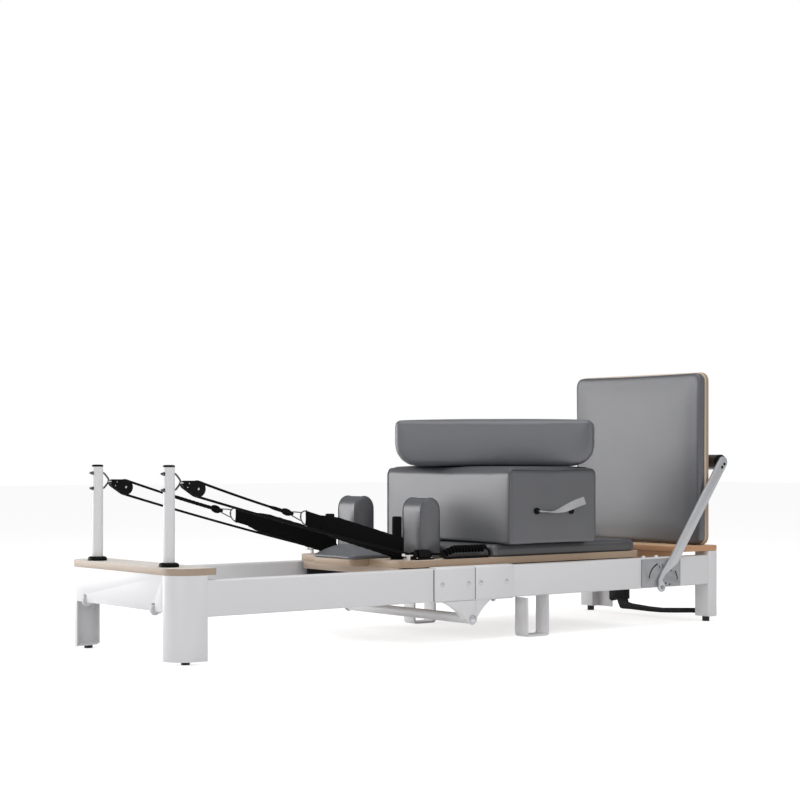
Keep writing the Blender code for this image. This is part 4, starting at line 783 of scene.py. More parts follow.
def cross_slide(obj):
    """Bakes the piece's place into its mesh; it rides on no body"""
    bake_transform(obj)


# Sizes and colours that a user would change
def length(name, description, default):
    return bpy.props.FloatProperty(name=name, description=description, default=default, unit="LENGTH")


def colour(name, description, code):
    return bpy.props.FloatVectorProperty(name=name, description=description, subtype="COLOR", size=4, min=0, max=1,
                                         default=linear(code))


class ReformerSizes(bpy.types.PropertyGroup):
    steel_edge: length("Steel edge", "Radius on the pressed steel's edges", 0.0012)
    board_edge: length("Board edge", "Radius on the plywood boards' edges", 0.003)
    cloth_cell: length("Cloth cell", "Cell of the cushions' cloth mesh", 0.008)
    piping: length("Piping", "Radius of the piping along the cushions' seams", 0.0018)
    webbing: length("Webbing", "Width of the strap's narrow end", 0.0445)
    strap_pad: length("Strap pad", "Width of the strap's padded band", 0.065)
    spring_wire: length("Spring wire", "Radius of the springs' wire", 0.0014)
    floor_lift: bpy.props.FloatProperty(
        name="Floor lift", description="Light that the floor adds of its own where the camera sees it", default=0.65)


class ReformerColours(bpy.types.PropertyGroup):
    steel: colour("Steel", "Powder-coated frame", "e8e8ea")
    leather: colour("Leatherette", "Covers of the cushions", "4a4b50")
    wood: colour("Plywood face", "Lacquered birch faces", "e0cfbd")
    wood_edge: colour("Plywood edge", "Cut edges of the boards", "ae957d")
    pale_wood: colour("Left end plate", "Face of the paler end plate", "f2eae2")
    pale_edge: colour("Left end plate's edge", "Cut edge of the paler end plate", "b29f8d")
    warm_wood: colour("Right end plate", "Face of the warmer end plate", "e0ba95")
    warm_edge: colour("Right end plate's edge", "Cut edge of the warmer end plate", "cf9c73")
    black: colour("Black parts", "Black coated steel and nylon", "060607")
    rope: colour("Rope", "Rope and webbing", "040405")
    aluminium: colour("Aluminium", "Footbar arms and adjustment plates", "b4b5b8")


# Studio
class REFORMER_OT_stage(bpy.types.Operator):
    """Floor, camera, lights and world"""
    bl_idname = "reformer.stage"
    bl_label = "Studio"

    def execute(self, context):
        scene = context.scene
        scene.view_settings.view_transform = "Standard"
        deselect()
        bpy.ops.mesh.primitive_plane_add(size=60)
        floor = context.object
        floor.name = "studio_floor"
        floor.data.materials.append(finish("floor"))
        bpy.ops.object.camera_add(location=at(CAMERA_X, CAMERA_Y, CAMERA_Z),
                                  rotation=(math.radians(90), 0, CAMERA_TURN))
        camera = context.object
        camera.data.lens = CAMERA_LENS
        camera.data.sensor_width = 36
        camera.data.shift_y = CAMERA_SHIFT
        scene.camera = camera
        for name, place, target, size, power in (
                ("rear_left_softbox", (-3.3, 4.0, 1.05), (0.0, 0.0, 0.7), 2.8, 150),
                ("front_left_softbox", (-6.0, -3.8, 2.6), (0.0, 0.0, 0.4), 4.0, 88),
                ("front_right_softbox", (3.4, -5.6, 2.4), (0.8, 0.0, 0.3), 3.0, 40),
                ("top_softbox", (-0.2, -0.5, 3.4), (0.0, 0.0, 0.3), 3.2, 52)):
            self.lamp(name, place, target, size, power)
        world = bpy.data.worlds.new("studio")
        world.use_nodes = True
        tree = world.node_tree
        # white to the camera, dimmer as a light
        rays = add_node(tree, "LightPath")
        level = add_node(tree, "MapRange", {"Value": rays.outputs["Is Camera Ray"], "To Min": WORLD_LIGHT,
                                            "To Max": 1.0})
        back = tree.nodes["Background"]
        back.inputs["Color"].default_value = (1.0, 1.0, 1.0, 1.0)
        tree.links.new(level.outputs["Result"], back.inputs["Strength"])
        scene.world = world
        return {"FINISHED"}

    def lamp(self, name, place, target, size, power):
        deselect()
        turn = (Vector(target) - Vector(place)).to_track_quat("-Z", "Y").to_euler()
        bpy.ops.object.light_add(type="AREA", location=place, rotation=turn)
        made = bpy.context.object
        made.name = name
        made.data.size = size
        made.data.energy = power


# Steel of both halves
class REFORMER_OT_frame_steel(bpy.types.Operator):
    """Rails, sleeves, legs, apron and beams with eased edges, and the rubber pads under the legs"""
    bl_idname = "reformer.frame_steel"
    bl_label = "Frame steel"

    def execute(self, context):
        edge = sizes().steel_edge
        for label, _ in SIDES:
            for piece, body, width in (("left_rail", "left_frame", edge), ("right_rail", "right_frame", edge),
                                       ("left_hinge", "left_frame", 0.0007), ("right_hinge", "right_frame", 0.0007),
                                       ("left_leg", "left_frame", 0.0008)):
                made = refine("%s_%s" % (piece, label), body, "steel", width)
            paint(made, "rubber", lambda middle: middle.z < 0.0098)
        legs = refine("right_legs", "right_frame", "steel", edge)
        paint(legs, "rubber", lambda middle: middle.z < 0.0185 and abs(middle.y) > 0.2)
        refine("left_apron", "left_frame", "steel", 0.0008)
        refine("spring_bar", "right_frame", "black steel", 0.001)
        refine("carriage_frame", "carriage", "black steel", 0.0008)
        return {"FINISHED"}


class REFORMER_OT_fold(bpy.types.Operator):
    """Fold hinge: cross tube, pivot bolts, domed bolts, rail nuts, and the left sleeves' lip and dark strips painted
    as shadow lines
    """
    bl_idname = "reformer.fold"
    bl_label = "Fold hinge"

    def execute(self, context):
        low, high = corners("hinge_tube")
        pivot = (low + high) / 2
        inner, outer = 0.3250, high.y
        tube = rod("hinge_tube_finished", (pivot.x, -inner, pivot.z), (pivot.x, inner, pivot.z), 0.0160, 48)
        dress(tube, "hinge_tube_finished", "steel", "left_frame", ("hinge_tube",))
        pivot_head = [(0, 0.0068), (0.0060, 0.0066), (0.0095, 0.0054), (0.0112, 0.0036), (0.0118, 0.0012),
                      (0.0135, 0.0010), (0.0138, 0.0), (0.0, 0.0)]
        # cup-square head with its washer
        domed_head = [(0, 0.0044), (0.0025, 0.0042), (0.0046, 0.0034), (0.0060, 0.0019), (0.0065, 0.0008),
                      (0.0078, 0.0007), (0.0080, 0.0), (0.0, 0.0)]
        for label, side in SIDES:
            head = lathe("pivot_head", pivot_head, (pivot.x, side * (outer - 0.0070), pivot.z), (0, side, 0))
            shank = rod("pivot_shank", (pivot.x, side * inner, pivot.z), (pivot.x, side * (outer - 0.006), pivot.z),
                        0.0058, 20)
            dress(join("pivot_bolt", [head, shank]), "pivot_bolt_" + label, "zinc", "left_frame")
            for half, xs in (("left", (0.9763, 1.0856)), ("right", (1.1378, 1.2486))):
                bolts = studs(domed_head, [at(x, side * (SLEEVE_FACE - 0.0001), 0.1905) for x in xs], (0, side, 0), 28)
                dress(bolts, "%s_sleeve_bolts_%s" % (half, label), "zinc", half + "_frame")
            under = at(1.2154, side * 0.306, 0.1325)
            nut = rod("rail_nut", under, under - Vector((0, 0, 0.0085)), 0.0075, 6, 0.0008)
            dress(nut, "rail_nut_" + label, "zinc", "right_frame")
            lip = block("lip", at(0.9445, side * RAIL_FACE, 0.1395), at(0.9500, side * 0.3338, 0.2385), 0.0006)
            dress(lip, "sleeve_lip_" + label, "steel", "left_frame")
            # painted shadow: dark rubber strips where the lip and the sleeves' joint cast thin shadow lines
            lines = [block("line", at(x, side * RAIL_FACE, 0.1385), at(x + w, side * y, 0.2395), 0)
                     for x, w, y in ((0.9427, 0.0017, 0.3315), (1.1128, 0.0024, 0.33345))]
            dress(join("sleeve_shadow_strips", lines), "sleeve_painted_shadow_strips_" + label, "rubber", "left_frame")
        return {"FINISHED"}


class REFORMER_OT_boards(bpy.types.Operator):
    """Plywood end plates, carriage deck, headrest board, cross board and the jump board's back"""
    bl_idname = "reformer.boards"
    bl_label = "Plywood boards"

    def execute(self, context):
        edge = sizes().board_edge
        for node, body, material, width, segments in (
                ("left_plate", "left_frame", "plate", edge, 3), ("right_plate", "right_frame", "warm plate", edge, 3),
                ("carriage_deck", "carriage", "deck", edge, 3), ("headrest_board", "headrest", "deck", edge, 3),
                ("carriage_cross_board", "carriage", "plate", 0.0015, 2),
                ("jump_board_back", "jump_board", "board", edge, 3)):
            refine(node, body, material, width, segments)
        return {"FINISHED"}


class REFORMER_OT_posts(bpy.types.Operator):
    """Pulley posts: tube, black cap and foot collar, bent eye bolt with its nuts and washers"""
    bl_idname = "reformer.posts"
    bl_label = "Pulley posts"

    def execute(self, context):
        x, y, radius = POST_X, -SHEAVE_Y, POST_RADIUS
        tube = rod("post_tube", at(x, y, POST_FOOT), at(x, y, POST_TOP), radius, 48, 0.0008)
        cap = lathe("post_cap", [(0, 0.5720), (0.0120, 0.5718), (0.0160, 0.5708), (0.0176, 0.5690), (0.0176, 0.5660),
                                 (0.0171, 0.5655), (0, 0.5655)], at(x, y, 0), (0, 0, 1))
        plate_top = corners("left_plate")[1].z
        flare = ((radius + 0.0002, 0.0130), (0.0200, 0.0128), (0.0250, 0.0118), (0.0282, 0.0092), (0.0294, 0.0050),
                 (0.0296, 0.0015), (0.0296, 0.0001), (radius + 0.0002, 0.0001))
        collar = lathe("post_collar", [(r, plate_top + rise) for r, rise in flare], at(x, y, 0), (0, 0, 1))
        reach, half, z = 0.0860, 0.0235, EYE_BOLT_Z
        leg = ((0.0187, 1), (0.0600, 1), (0.0690, 0.97), (0.0775, 0.62), (reach - 0.0012, 0.22))
        bend = [(u, z + half * share) for u, share in leg] + [(reach, z)]
        bend += [(u, z - half * share) for u, share in reversed(leg)]
        hardware = [wire("eye_bolt", curved([at(u, y, v) for u, v in bend], steps=5), 0.0030)]
        for start, end, r, sides, bevel in ((0.0250, 0.0304, 0.0056, 6, 0.0006), (0.0302, 0.0314, 0.0066, 24, 0.0002)):
            hardware += [rod("nut", at(start, y, z + s * half), at(end, y, z + s * half), r, sides, bevel)
                         for s in (-1, 1)]
        hardware = join("eye_bolt_near", hardware)
        trim = join("post_trim_near", [cap, collar])
        pair(tube, "post_tube", "steel", "white_paint", "left_frame", "post_")
        pair(trim, "post_trim", "nylon", "black_steel", "left_frame")
        pair(hardware, "eye_bolt", "gunmetal", "silver", "left_frame")
        return {"FINISHED"}


class REFORMER_OT_pulleys(bpy.types.Operator):
    """Pulley blocks: two pear-shaped cheeks on a neck, ring, axle pin and the grooved sheave"""
    bl_idname = "reformer.pulleys"
    bl_label = "Pulleys"

    def execute(self, context):
        y, top = -SHEAVE_Y, PULLEY_NECK_Z
        outline = self.pear((0.1020, top), 0.0120, (SHEAVE_X + 0.0010, SHEAVE_Z), 0.0240)
        spacer = self.pear((0.1010, top), 0.0098, (0.1090, 0.5110), 0.0082)
        turn = Matrix(((1, 0, 0, LEFT_END), (0, 0, -1, 0), (0, 1, 0, 0), (0, 0, 0, 1)))
        cheeks = [plate("cheek", shape, thickness, Matrix.Translation((0, y + shift, 0)) @ turn, bevel)
                  for shape, thickness, shift, bevel in ((outline, 0.0026, -0.0081, 0.0007),
                                                         (outline, 0.0026, 0.0081, 0.0007),
                                                         (spacer, 0.0140, 0.0, 0.0005))]
        boss = rod("boss", at(SHEAVE_X, y - 0.0099, SHEAVE_Z), at(SHEAVE_X, y + 0.0099, SHEAVE_Z), 0.0075, 28)
        block_near = join("pulley_block", cheeks + [boss])
        pin = lathe("pin", mirrored([(0, 0.0102), (0.0030, 0.0102), (0.0042, 0.0096)]), at(SHEAVE_X, y, SHEAVE_Z),
                    (0, 1, 0), 24)
        rivets = [rod("rivet", at(u, y - 0.0101, v), at(u, y + 0.0101, v), 0.0019, 12, 0.0003)
                  for u, v in ((0.1105, 0.5180), (0.1050, 0.5065))]
        ring = [at(0.0885 + u, y + v, 0.5195) for u, v in round_section(0.0080, 24)]
        fittings = join("pulley_fittings", [pin, wire("ring", ring, 0.0019, True)] + rivets)
        pair(block_near, "pulley_cheeks", "nylon", "black_steel", "left_frame", "pulley_block_")
        pair(fittings, "pulley_fittings", "zinc", "silver", "left_frame")
        half, lip, groove = 0.0055, 0.0214, 0.0166
        hollow = [(lip - (lip - groove) * math.cos(a) ** 2, half * 0.8 * math.sin(a))
                  for a in np.linspace(math.pi / 2, -math.pi / 2, 13)]
        face = [(0.0046, half), (0.0090, half), (0.0095, half - 0.0008), (0.0170, half - 0.0008), (0.0175, half),
                (lip - 0.0004, half)]
        profile = face + hollow + mirrored(face)[len(face):]
        for label, side in SIDES:
            sheave = lathe("sheave", profile, at(SHEAVE_X, side * SHEAVE_Y, SHEAVE_Z), (0, 1, 0), 56)
            dress(sheave, "sheave_turned_" + label, "nylon", "sheave_" + label, ("sheave_" + label,))
        return {"FINISHED"}

    def pear(self, start, start_radius, end, end_radius):
        """The outline round two circles joined by their tangents"""
        away = Vector(end) - Vector(start)
        along = math.degrees(math.atan2(away.y, away.x))
        lean = math.degrees(math.acos((start_radius - end_radius) / away.length))
        return arc(*end, end_radius, along - lean, along + lean, 22) + arc(
            *start, start_radius, along + lean, along - lean + 360, 14)


def hub(node):
    """A wheel's middle, radius and half width"""
    low, high = corners(node)
    return (low + high) / 2, (high.z - low.z) / 2, (high.y - low.y) / 2


class REFORMER_OT_transport_wheels(bpy.types.Operator):
    """Small wheels in the left apron, with their axle ends"""
    bl_idname = "reformer.transport_wheels"
    bl_label = "Transport wheels"

    def execute(self, context):
        for label, _ in SIDES:
            node = "transport_wheel_" + label
            middle, r, half = hub(node)
            profile = [(0.0044, half), (0.0075, half), (0.0080, half - 0.0010), (0.0120, half - 0.0014),
                       (0.0125, half - 0.0004), (r - 0.0028, half - 0.0004), (r - 0.0008, half - 0.0020),
                       (r, half - 0.0032)]
            wheel = lathe("wheel", mirrored(profile), middle, (0, 1, 0), 56)
            dress(wheel, "transport_wheel_turned_" + label, "tread", node, (node,))
            ends = [rod("axle_end", middle + Vector((0, s * (half + 0.0072), 0)),
                        middle + Vector((0, s * (half + 0.0092), 0)), 0.0055, 6) for s in (-1, 1)]
            dress(join("axle_ends", ends), "transport_axle_ends_" + label, "zinc", "left_frame")
        return {"FINISHED"}


# Carriage hardware
class REFORMER_OT_carriage_wheels(bpy.types.Operator):
    """Wheels under the carriage, with a bearing face and the axle's snap ring"""
    bl_idname = "reformer.carriage_wheels"
    bl_label = "Carriage wheels"

    def execute(self, context):
        for place in ("front", "rear"):
            for label, _ in SIDES:
                node = "carriage_wheel_%s_%s" % (place, label)
                middle, r, half = hub(node)
                profile = [(0.0054, half - 0.0010), (0.0085, half - 0.0010), (0.0087, half), (0.0105, half),
                           (0.0107, half - 0.0016), (0.0150, half - 0.0016), (0.0154, half - 0.0002),
                           (r - 0.0014, half - 0.0002), (r - 0.0003, half - 0.0012), (r, half - 0.0030)]
                wheel = lathe("wheel", mirrored(profile), middle, (0, 1, 0), 56)
                dress(wheel, node + "_turned", "tread", node, (node,))
        return {"FINISHED"}


class REFORMER_OT_springs(bpy.types.Operator):
    """Close-wound springs with hooked ends, from the carriage's rear bar to the spring bar"""
    bl_idname = "reformer.springs"
    bl_label = "Springs"

    def execute(self, context):
        low, high = corners("spring_1")
        start, end = low.x + 0.016, high.x - 0.018
        radius, steps, turns = 0.0092, 12, 36
        z = (low.z + high.z) / 2
        for index in range(1, 5):
            y = sum(corners("spring_%d" % index), Vector()).y / 2
            coil = []
            for i in range(turns * steps + 1):
                a = 2 * math.pi * i / steps
                grow = min(1.0, i / steps, (turns * steps - i) / steps)
                coil.append((start + (end - start) * i / (turns * steps), y + radius * grow * math.sin(a),
                             z + radius * grow * math.cos(a)))
            left = [(low.x + 0.0005, y, z), (low.x + 0.008, y, z)]
            hook = [(end + 0.004, y, z), (high.x - 0.006, y, z), (high.x - 0.001, y, z)]
            spring = wire("coil", left + coil + hook, sizes().spring_wire, False, 2)
            plug = rod("plug", (low.x + 0.0002, y, z), (low.x + 0.013, y, z), 0.0080, 20)
            eye = [(high.x - 0.0045 + u, y + v, z) for u, v in round_section(0.0062, 16)]
            eyelet = wire("eyelet", eye, 0.0016, True, 2)
            obj = dress(join("spring", [spring, plug, eyelet]), "coil_spring_%d" % index, "zinc",
                        None, ("spring_%d" % index,))
            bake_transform(obj)
        return {"FINISHED"}


class REFORMER_OT_deck_fittings(bpy.types.Operator):
    """Foam-sleeved pegs with flanges, rope cleats, steel brackets, and the screws that hold them"""
    bl_idname = "reformer.deck_fittings"
    bl_label = "Deck fittings"

    def execute(self, context):
        low, high = corners("peg_near")
        x, y = (low.x + high.x) / 2, -PEG_Y
        top, deck = high.z, DECK_TOP + GAP
        r = PEG_RADIUS
        sleeve = lathe("sleeve", [(0, top), (r - 0.0050, top - 0.0001), (r - 0.0016, top - 0.0010), (r, top - 0.0036),
                                  (r, deck + 0.0040), (0, deck + 0.0040)], (x, y, 0), (0, 0, 1))
        flange = lathe("flange", [(0, deck + 0.0040), (0.0195, deck + 0.0040), (0.0212, deck + 0.0028),
                                  (0.0215, deck), (0, deck)], (x, y, 0), (0, 0, 1))
        pair(join("peg", [sleeve, flange]), "peg_sleeved", "foam", "black_steel", "carriage", "peg_")
        for piece in self.cleat():
            pair(*piece)
        return {"FINISHED"}

    def cleat(self):
        """The near cleat, its screws, and the bracket before it, each with what pair() needs"""
        low, high = corners("rope_cleat_near")
        y = (low.y + high.y) / 2
        bore = low.z + CLEAT_HEIGHT * 0.5
        body = [block("base", (low.x, low.y, low.z), (high.x, high.y, low.z + 0.006), 0.0015),
                lathe("mouth", [(0.0045, 0.010), (0.0078, 0.010), (0.0100, 0.0085), (0.0115, 0.0), (0.0105, -0.006),
                                (0.0045, -0.006)], (low.x + 0.0065, y, bore), (-1, 0, 0), 28),
                lathe("outlet", [(0.0045, 0.008), (0.0080, 0.008), (0.0096, 0.0065), (0.0105, -0.008),
                                 (0.0045, -0.008)], (high.x - 0.0085, y, bore), (1, 0, 0), 28),
                block("stand", (low.x + 0.001, y - 0.0085, low.z + 0.004),
                      (low.x + 0.0135, y + 0.0085, low.z + 0.0120), 0.001)]
        body += [block("jaw", (low.x + 0.016, y + side * 0.0085 - 0.0060, low.z + 0.006),
                       (high.x - 0.014, y + side * 0.0085 + 0.0060, high.z - 0.001), 0.0035, 4) for side in (-1, 1)]
        body = join("cleat", body)
        screws = studs([(0, 0.0022), (0.0018, 0.0021), (0.0034, 0.0012), (0.0040, 0.0), (0, 0.0)],
                       [(low.x + dx, y + side * 0.0118, low.z + 0.0058)
                        for dx in (0.0090, high.x - low.x - 0.0070) for side in (-1, 1)], (0, 0, 1), 16)
        outline = [(0.8725, 0.0140), (0.8915, 0.0140), (0.8925, 0.0), (0.8985, 0.0), (0.8975, 0.0140),
                   (0.9095, 0.0140), (0.9095, 0.0172), (0.8790, 0.0172), (0.8755, 0.0225), (0.8730, 0.0215)]
        turn = Matrix(((1, 0, 0, LEFT_END), (0, 0, -1, y - 0.0125), (0, 1, 0, DECK_TOP + GAP), (0, 0, 0, 1)))
        bracket = plate("bracket", outline, 0.012, turn, 0.0006)
        return ((body, "rope_cleat_moulded", "nylon", "black_steel", "carriage", "rope_cleat_"),
                (screws, "cleat_screws", "zinc", "silver", "carriage"),
                (bracket, "deck_bracket", "steel", "white_paint", "carriage"))


# Cords and straps
class REFORMER_OT_ropes(bpy.types.Operator):
    """Ropes over the sheaves, their spliced ends, and the hanks behind the cleats"""
    bl_idname = "reformer.ropes"
    bl_label = "Ropes and hanks"

    def execute(self, context):
        for label, side in SIDES:
            route = rope_route(side)
            rope = sweep("rope", route, [round_section(ROPE_RADIUS, 14)])
            dress(rope, "rope_braided_" + label, "rope", None, ("rope_" + label,), SOFT_ANGLE)
            cross_slide(rope)
            self.splice(label, side)
            route = hank_route(side)
            fine = curved(route, steps=3)
            hank = sweep("hank", fine, [round_section(ROPE_RADIUS, 12)])
            dress(hank, "hank_braided_" + label, "rope", "carriage", ("hank_" + label,),
                  SOFT_ANGLE)
        return {"FINISHED"}

    def splice(self, label, side):
        """The doubled, whipped end of the rope, drawn to an eye at the link"""
        xs = np.linspace(0.408 if side < 0 else 0.300, STRAP_NARROW - STRAP_LINK + 0.001, 28)
        path, sections = [], []
        for i, x in enumerate(xs):
            share = i / (len(xs) - 1)
            swell = min(1.0, share * 6, (1 - share) * 10 + 0.55)
            ripple = 1 + 0.05 * math.cos(i * math.pi)
            path.append(at(x, side * rope_y(x), self.height(x)))
            sections.append(round_section((ROPE_RADIUS + 0.0003 + 0.0017 * swell) * ripple, 14))
        cover = sweep("splice", path, sections)
        half = 0.0072 if side < 0 else 0.0090
        loop = [at(0.4690 + 0.0160 * math.cos(a), side * rope_y(0.469), self.height(0.469)
                   - 0.26 * 0.0160 * math.cos(a) + half * math.sin(a)) for a in np.linspace(0, 2 * math.pi, 25)[:-1]]
        cover = join("splice", [cover, sweep("eye", loop, [round_section(ROPE_RADIUS, 14)], closed=True)])
        dress(cover, "rope_splice_" + label, "rope", None, (), SOFT_ANGLE)
        cross_slide(cover)

    def height(self, x):
        """Height of the upper run above x"""
        high_turn = math.atan2(KNOT_Z - SHEAVE_Z - ROPE_WRAP, KNOT_X - SHEAVE_X) + math.pi / 2
        start_x = SHEAVE_X + ROPE_WRAP * math.cos(high_turn)
        start_z = SHEAVE_Z + ROPE_WRAP * math.sin(high_turn)
        end_x = STRAP_NARROW - STRAP_LINK
        share = (x - start_x) / (end_x - start_x)
        return start_z + (strap_line(end_x) - start_z) * share - 2 * ROPE_SAG * share * (1 - share)


class REFORMER_OT_straps(bpy.types.Operator):
    """Webbing loops with padded bands round the pegs, their D-rings and links"""
    bl_idname = "reformer.straps"
    bl_label = "Straps"

    def execute(self, context):
        for label, side in SIDES:
            for build, name, material, slot, nodes in (
                    (self.band, "strap_webbing_", "webbing", "black_webbing", ("strap_" + label,)),
                    (self.pad, "strap_pad_", "webbing", "black_webbing", ()),
                    (self.rings, "strap_rings_", "gunmetal", "silver", ())):
                cross_slide(dress(build(side), name + label, material, None, nodes, BAND_ANGLE))
        return {"FINISHED"}

    def band(self, side):
        """The webbing's loop round the D-ring's straight bar"""
        bar, end, gap, thickness = STRAP_BAR_X, STRAP_WEBBING_END, 0.0032, 0.0024
        plan = [(x, -gap) for x in np.linspace(end, bar, 10)]
        plan += [(bar - gap * math.sin(a), -gap * math.cos(a)) for a in np.radians((30, 60, 90, 120, 150))]
        plan += [(x, gap) for x in np.linspace(bar, end, 10)]
        path = [at(x, side * rope_y(x) + off, strap_line(x)) for x, off in plan]
        return sweep("webbing", path, [band_section(sizes().webbing, thickness)], up=(0, 0, 1))

    def pad(self, side):
        """The padded band: out to the peg, round it, and back"""
        start, thickness, narrow = STRAP_PAD_X, 0.0060, 0.0042
        radius = PEG_RADIUS + 0.0006 + 0.0030
        reach = PEG_X - start
        plan = [(start + reach * share, narrow + (radius - narrow) * share ** 0.9) for share in np.linspace(0, 1, 26)]
        turn = [(PEG_X + radius * math.sin(a), radius * math.cos(a)) for a in np.radians(np.linspace(8, 172, 15))]
        plan = [(x, -off) for x, off in plan] + [(x, -off) for x, off in turn] + plan[::-1]
        path, sections = [], []
        for i, (x, off) in enumerate(plan):
            end = min(i, len(plan) - 1 - i)
            swell = min(1.0, 0.35 + 0.65 * end / 3)
            quilt = 1 + 0.02 * math.cos(x * 2 * math.pi / 0.035)
            width = sizes().strap_pad * min(1.0, 0.74 + 0.26 * (x - start) / 0.052) * quilt
            path.append(at(x, side * rope_y(min(x, PEG_X)) + off, strap_line(x)))
            sections.append(band_section(width, thickness * swell))
        return sweep("pad", path, sections, up=(0, 0, 1))

    def rings(self, side):
        """D-ring with its straight bar in the webbing, and the triangular link on the rope's eye"""
        bar_x, back_x, half = STRAP_BAR_X, 0.5225, 0.0225

        def point(x, rise):
            return at(x, side * rope_y(x), strap_line(x) + rise)

        ring = [point(bar_x, -half), point(bar_x, -half / 2), point(bar_x, 0), point(bar_x, half / 2),
                point(bar_x, half), point(0.5410, half * 0.96), point(0.5290, half * 0.66), point(back_x, 0),
                point(0.5290, -half * 0.66), point(0.5410, -half * 0.96)]
        dee = wire("dee", curved(ring, True, 4), 0.0021, True)
        tip, base = STRAP_NARROW - STRAP_LINK - 0.0110, 0.5240
        triangle = [point(tip, 0.0), point(tip + 0.0030, 0.0042), point(base - 0.0030, 0.0120), point(base, 0.0108),
                    point(base + 0.0004, 0.0), point(base, -0.0108), point(base - 0.0030, -0.0120),
                    point(tip + 0.0030, -0.0042)]
        shackle = wire("link", curved(triangle, True, 3), 0.0019, True)
        return join("rings", [dee, shackle])


# Cushions
def swell(obj, cap, cell=None):
    """Cloth inflates the cover, its moves are scaled down to the cap and evened out, and the mesh is
    subdivided once"""
    apply_step(obj, "REMESH", mode="VOXEL", voxel_size=cell or sizes().cloth_cell, adaptivity=0.0)
    activate(obj)
    start = get_points(obj)
    step = obj.modifiers.new("cover", "CLOTH")
    for key, value in (("use_pressure", True), ("uniform_pressure_force", 4.0), ("quality", 5), ("mass", 0.4),
                       ("tension_stiffness", 30), ("compression_stiffness", 30), ("bending_stiffness", 6)):
        setattr(step.settings, key, value)
    step.settings.effector_weights.gravity = 0
    step.point_cache.frame_start = 1
    step.point_cache.frame_end = CLOTH_FRAMES
    for number in range(1, CLOTH_FRAMES + 1):
        bpy.context.scene.frame_set(number)
    bpy.ops.object.modifier_apply(modifier=step.name)
    bpy.context.scene.frame_set(1)
    move = get_points(obj) - start
    move *= min(1.0, cap / np.percentile(np.linalg.norm(move, axis=1), 98))
    far = np.linalg.norm(move, axis=1, keepdims=True)
    move *= np.minimum(1.0, cap / np.maximum(far, 1e-9))
    edges = np.array([e.vertices for e in obj.data.edges])
    count = np.maximum(np.bincount(edges.ravel(), minlength=len(move)), 1)[:, None]
    for _ in range(EVENING_PASSES):
        total = np.zeros_like(move)
        np.add.at(total, edges[:, 0], move[edges[:, 1]])
        np.add.at(total, edges[:, 1], move[edges[:, 0]])
        move = (move + total / count) / 2
    set_points(obj, start + move)
    apply_step(obj, "SUBSURF", levels=1, render_levels=1)


def keep_inside(obj, low, high):
    """Points stay between two corners, as where a cushion lies flat on a board"""
    set_points(obj, np.clip(get_points(obj), low, high))


def rim(cover, across, where, reach=0.005, pitch=0.006):
    """The cover's outline in the plane at that place along axis across, as evenly spaced points"""
    points = get_points(cover)
    flat = [axis for axis in range(3) if axis != across]
    ring = sorted(map(tuple, points[np.abs(points[:, across] - where) < reach][:, flat].round(5)))
    hull = []
    for row in (ring, ring[::-1]):
        chain = []
        for u, v in row:
            while len(chain) > 1 and ((chain[-1][0] - chain[-2][0]) * (v - chain[-2][1])
                                      - (chain[-1][1] - chain[-2][1]) * (u - chain[-2][0])) <= 0:
                chain.pop()
            chain.append((u, v))
        hull += chain[:-1]
    hull = np.array(hull + hull[:1])
    lengths = np.concatenate(([0], np.cumsum(np.linalg.norm(np.diff(hull, axis=0), axis=1))))
    steps = np.linspace(0, lengths[-1], int(lengths[-1] / pitch) + 1)[:-1]
    made = np.zeros((len(steps), 3))
    made[:, across] = where
    for axis, place in zip(flat, (0, 1)):
        made[:, axis] = np.interp(steps, lengths, hull[:, place])
    return [tuple(p) for p in made]


def pipe(cover, name, across, where, body, floor=None):
    """Piping sewn round a cover's edge"""
    points = rim(cover, across, where)
    if floor is not None:
        points = [(x, y, max(z, floor)) for x, y, z in points]
    made = wire(name, curved(points, True, 1), sizes().piping, True, 2)
    dress(made, name, "piping", body, (), SOFT_ANGLE)


class REFORMER_OT_box_handle(bpy.types.Operator):
    """Webbing handle on the sitting box's side, twisting as it rises, and its two capped rivets"""
    bl_idname = "reformer.box_handle"
    bl_label = "Box handle"

    def execute(self, context):
        width, thickness, steps = 0.0270, 0.0022, 4
        # design x, distance from the middle plane, height, lean of the band
        rows = ((1.386, 0.3400, 0.4165, 80), (1.410, 0.3440, 0.4150, 84), (1.440, 0.3450, 0.4120, 86),
                (1.468, 0.3450, 0.4135, 78), (1.498, 0.3430, 0.4200, 58), (1.530, 0.3400, 0.4295, 40),
                (1.562, 0.3370, 0.4385, 26), (1.604, 0.3335, 0.4480, 14))
        path = curved([at(x, -y, z) for x, y, z, _ in rows], steps=steps)
        leans = np.radians(np.interp(np.arange(len(path)) / steps, range(len(rows)), [row[3] for row in rows]))
        flat = band_section(width, thickness)
        sections = [[(s * math.cos(a) - u * math.sin(a), s * math.sin(a) + u * math.cos(a)) for s, u in flat]
                    for a in leans]
        band = sweep("handle", path, sections, up=(0, 0, 1))
        dress(band, "box_handle_webbing", "grey webbing", "box", (), BAND_ANGLE)
        cap = [(0, 0.0060), (0.0035, 0.0058), (0.0050, 0.0042), (0.0075, 0.0042), (0.0088, 0.0054), (0.0102, 0.0046),
               (0.0108, 0.0010), (0.0108, -0.0030), (0, -0.0030)]
        rivets = studs(cap, [at(x, -0.3335, z) for x, z in ((1.3830, 0.4165), (1.5400, 0.4140))], (0, -1, 0), 28)
        dress(rivets, "box_handle_rivets", "nylon", "box")
        return {"FINISHED"}


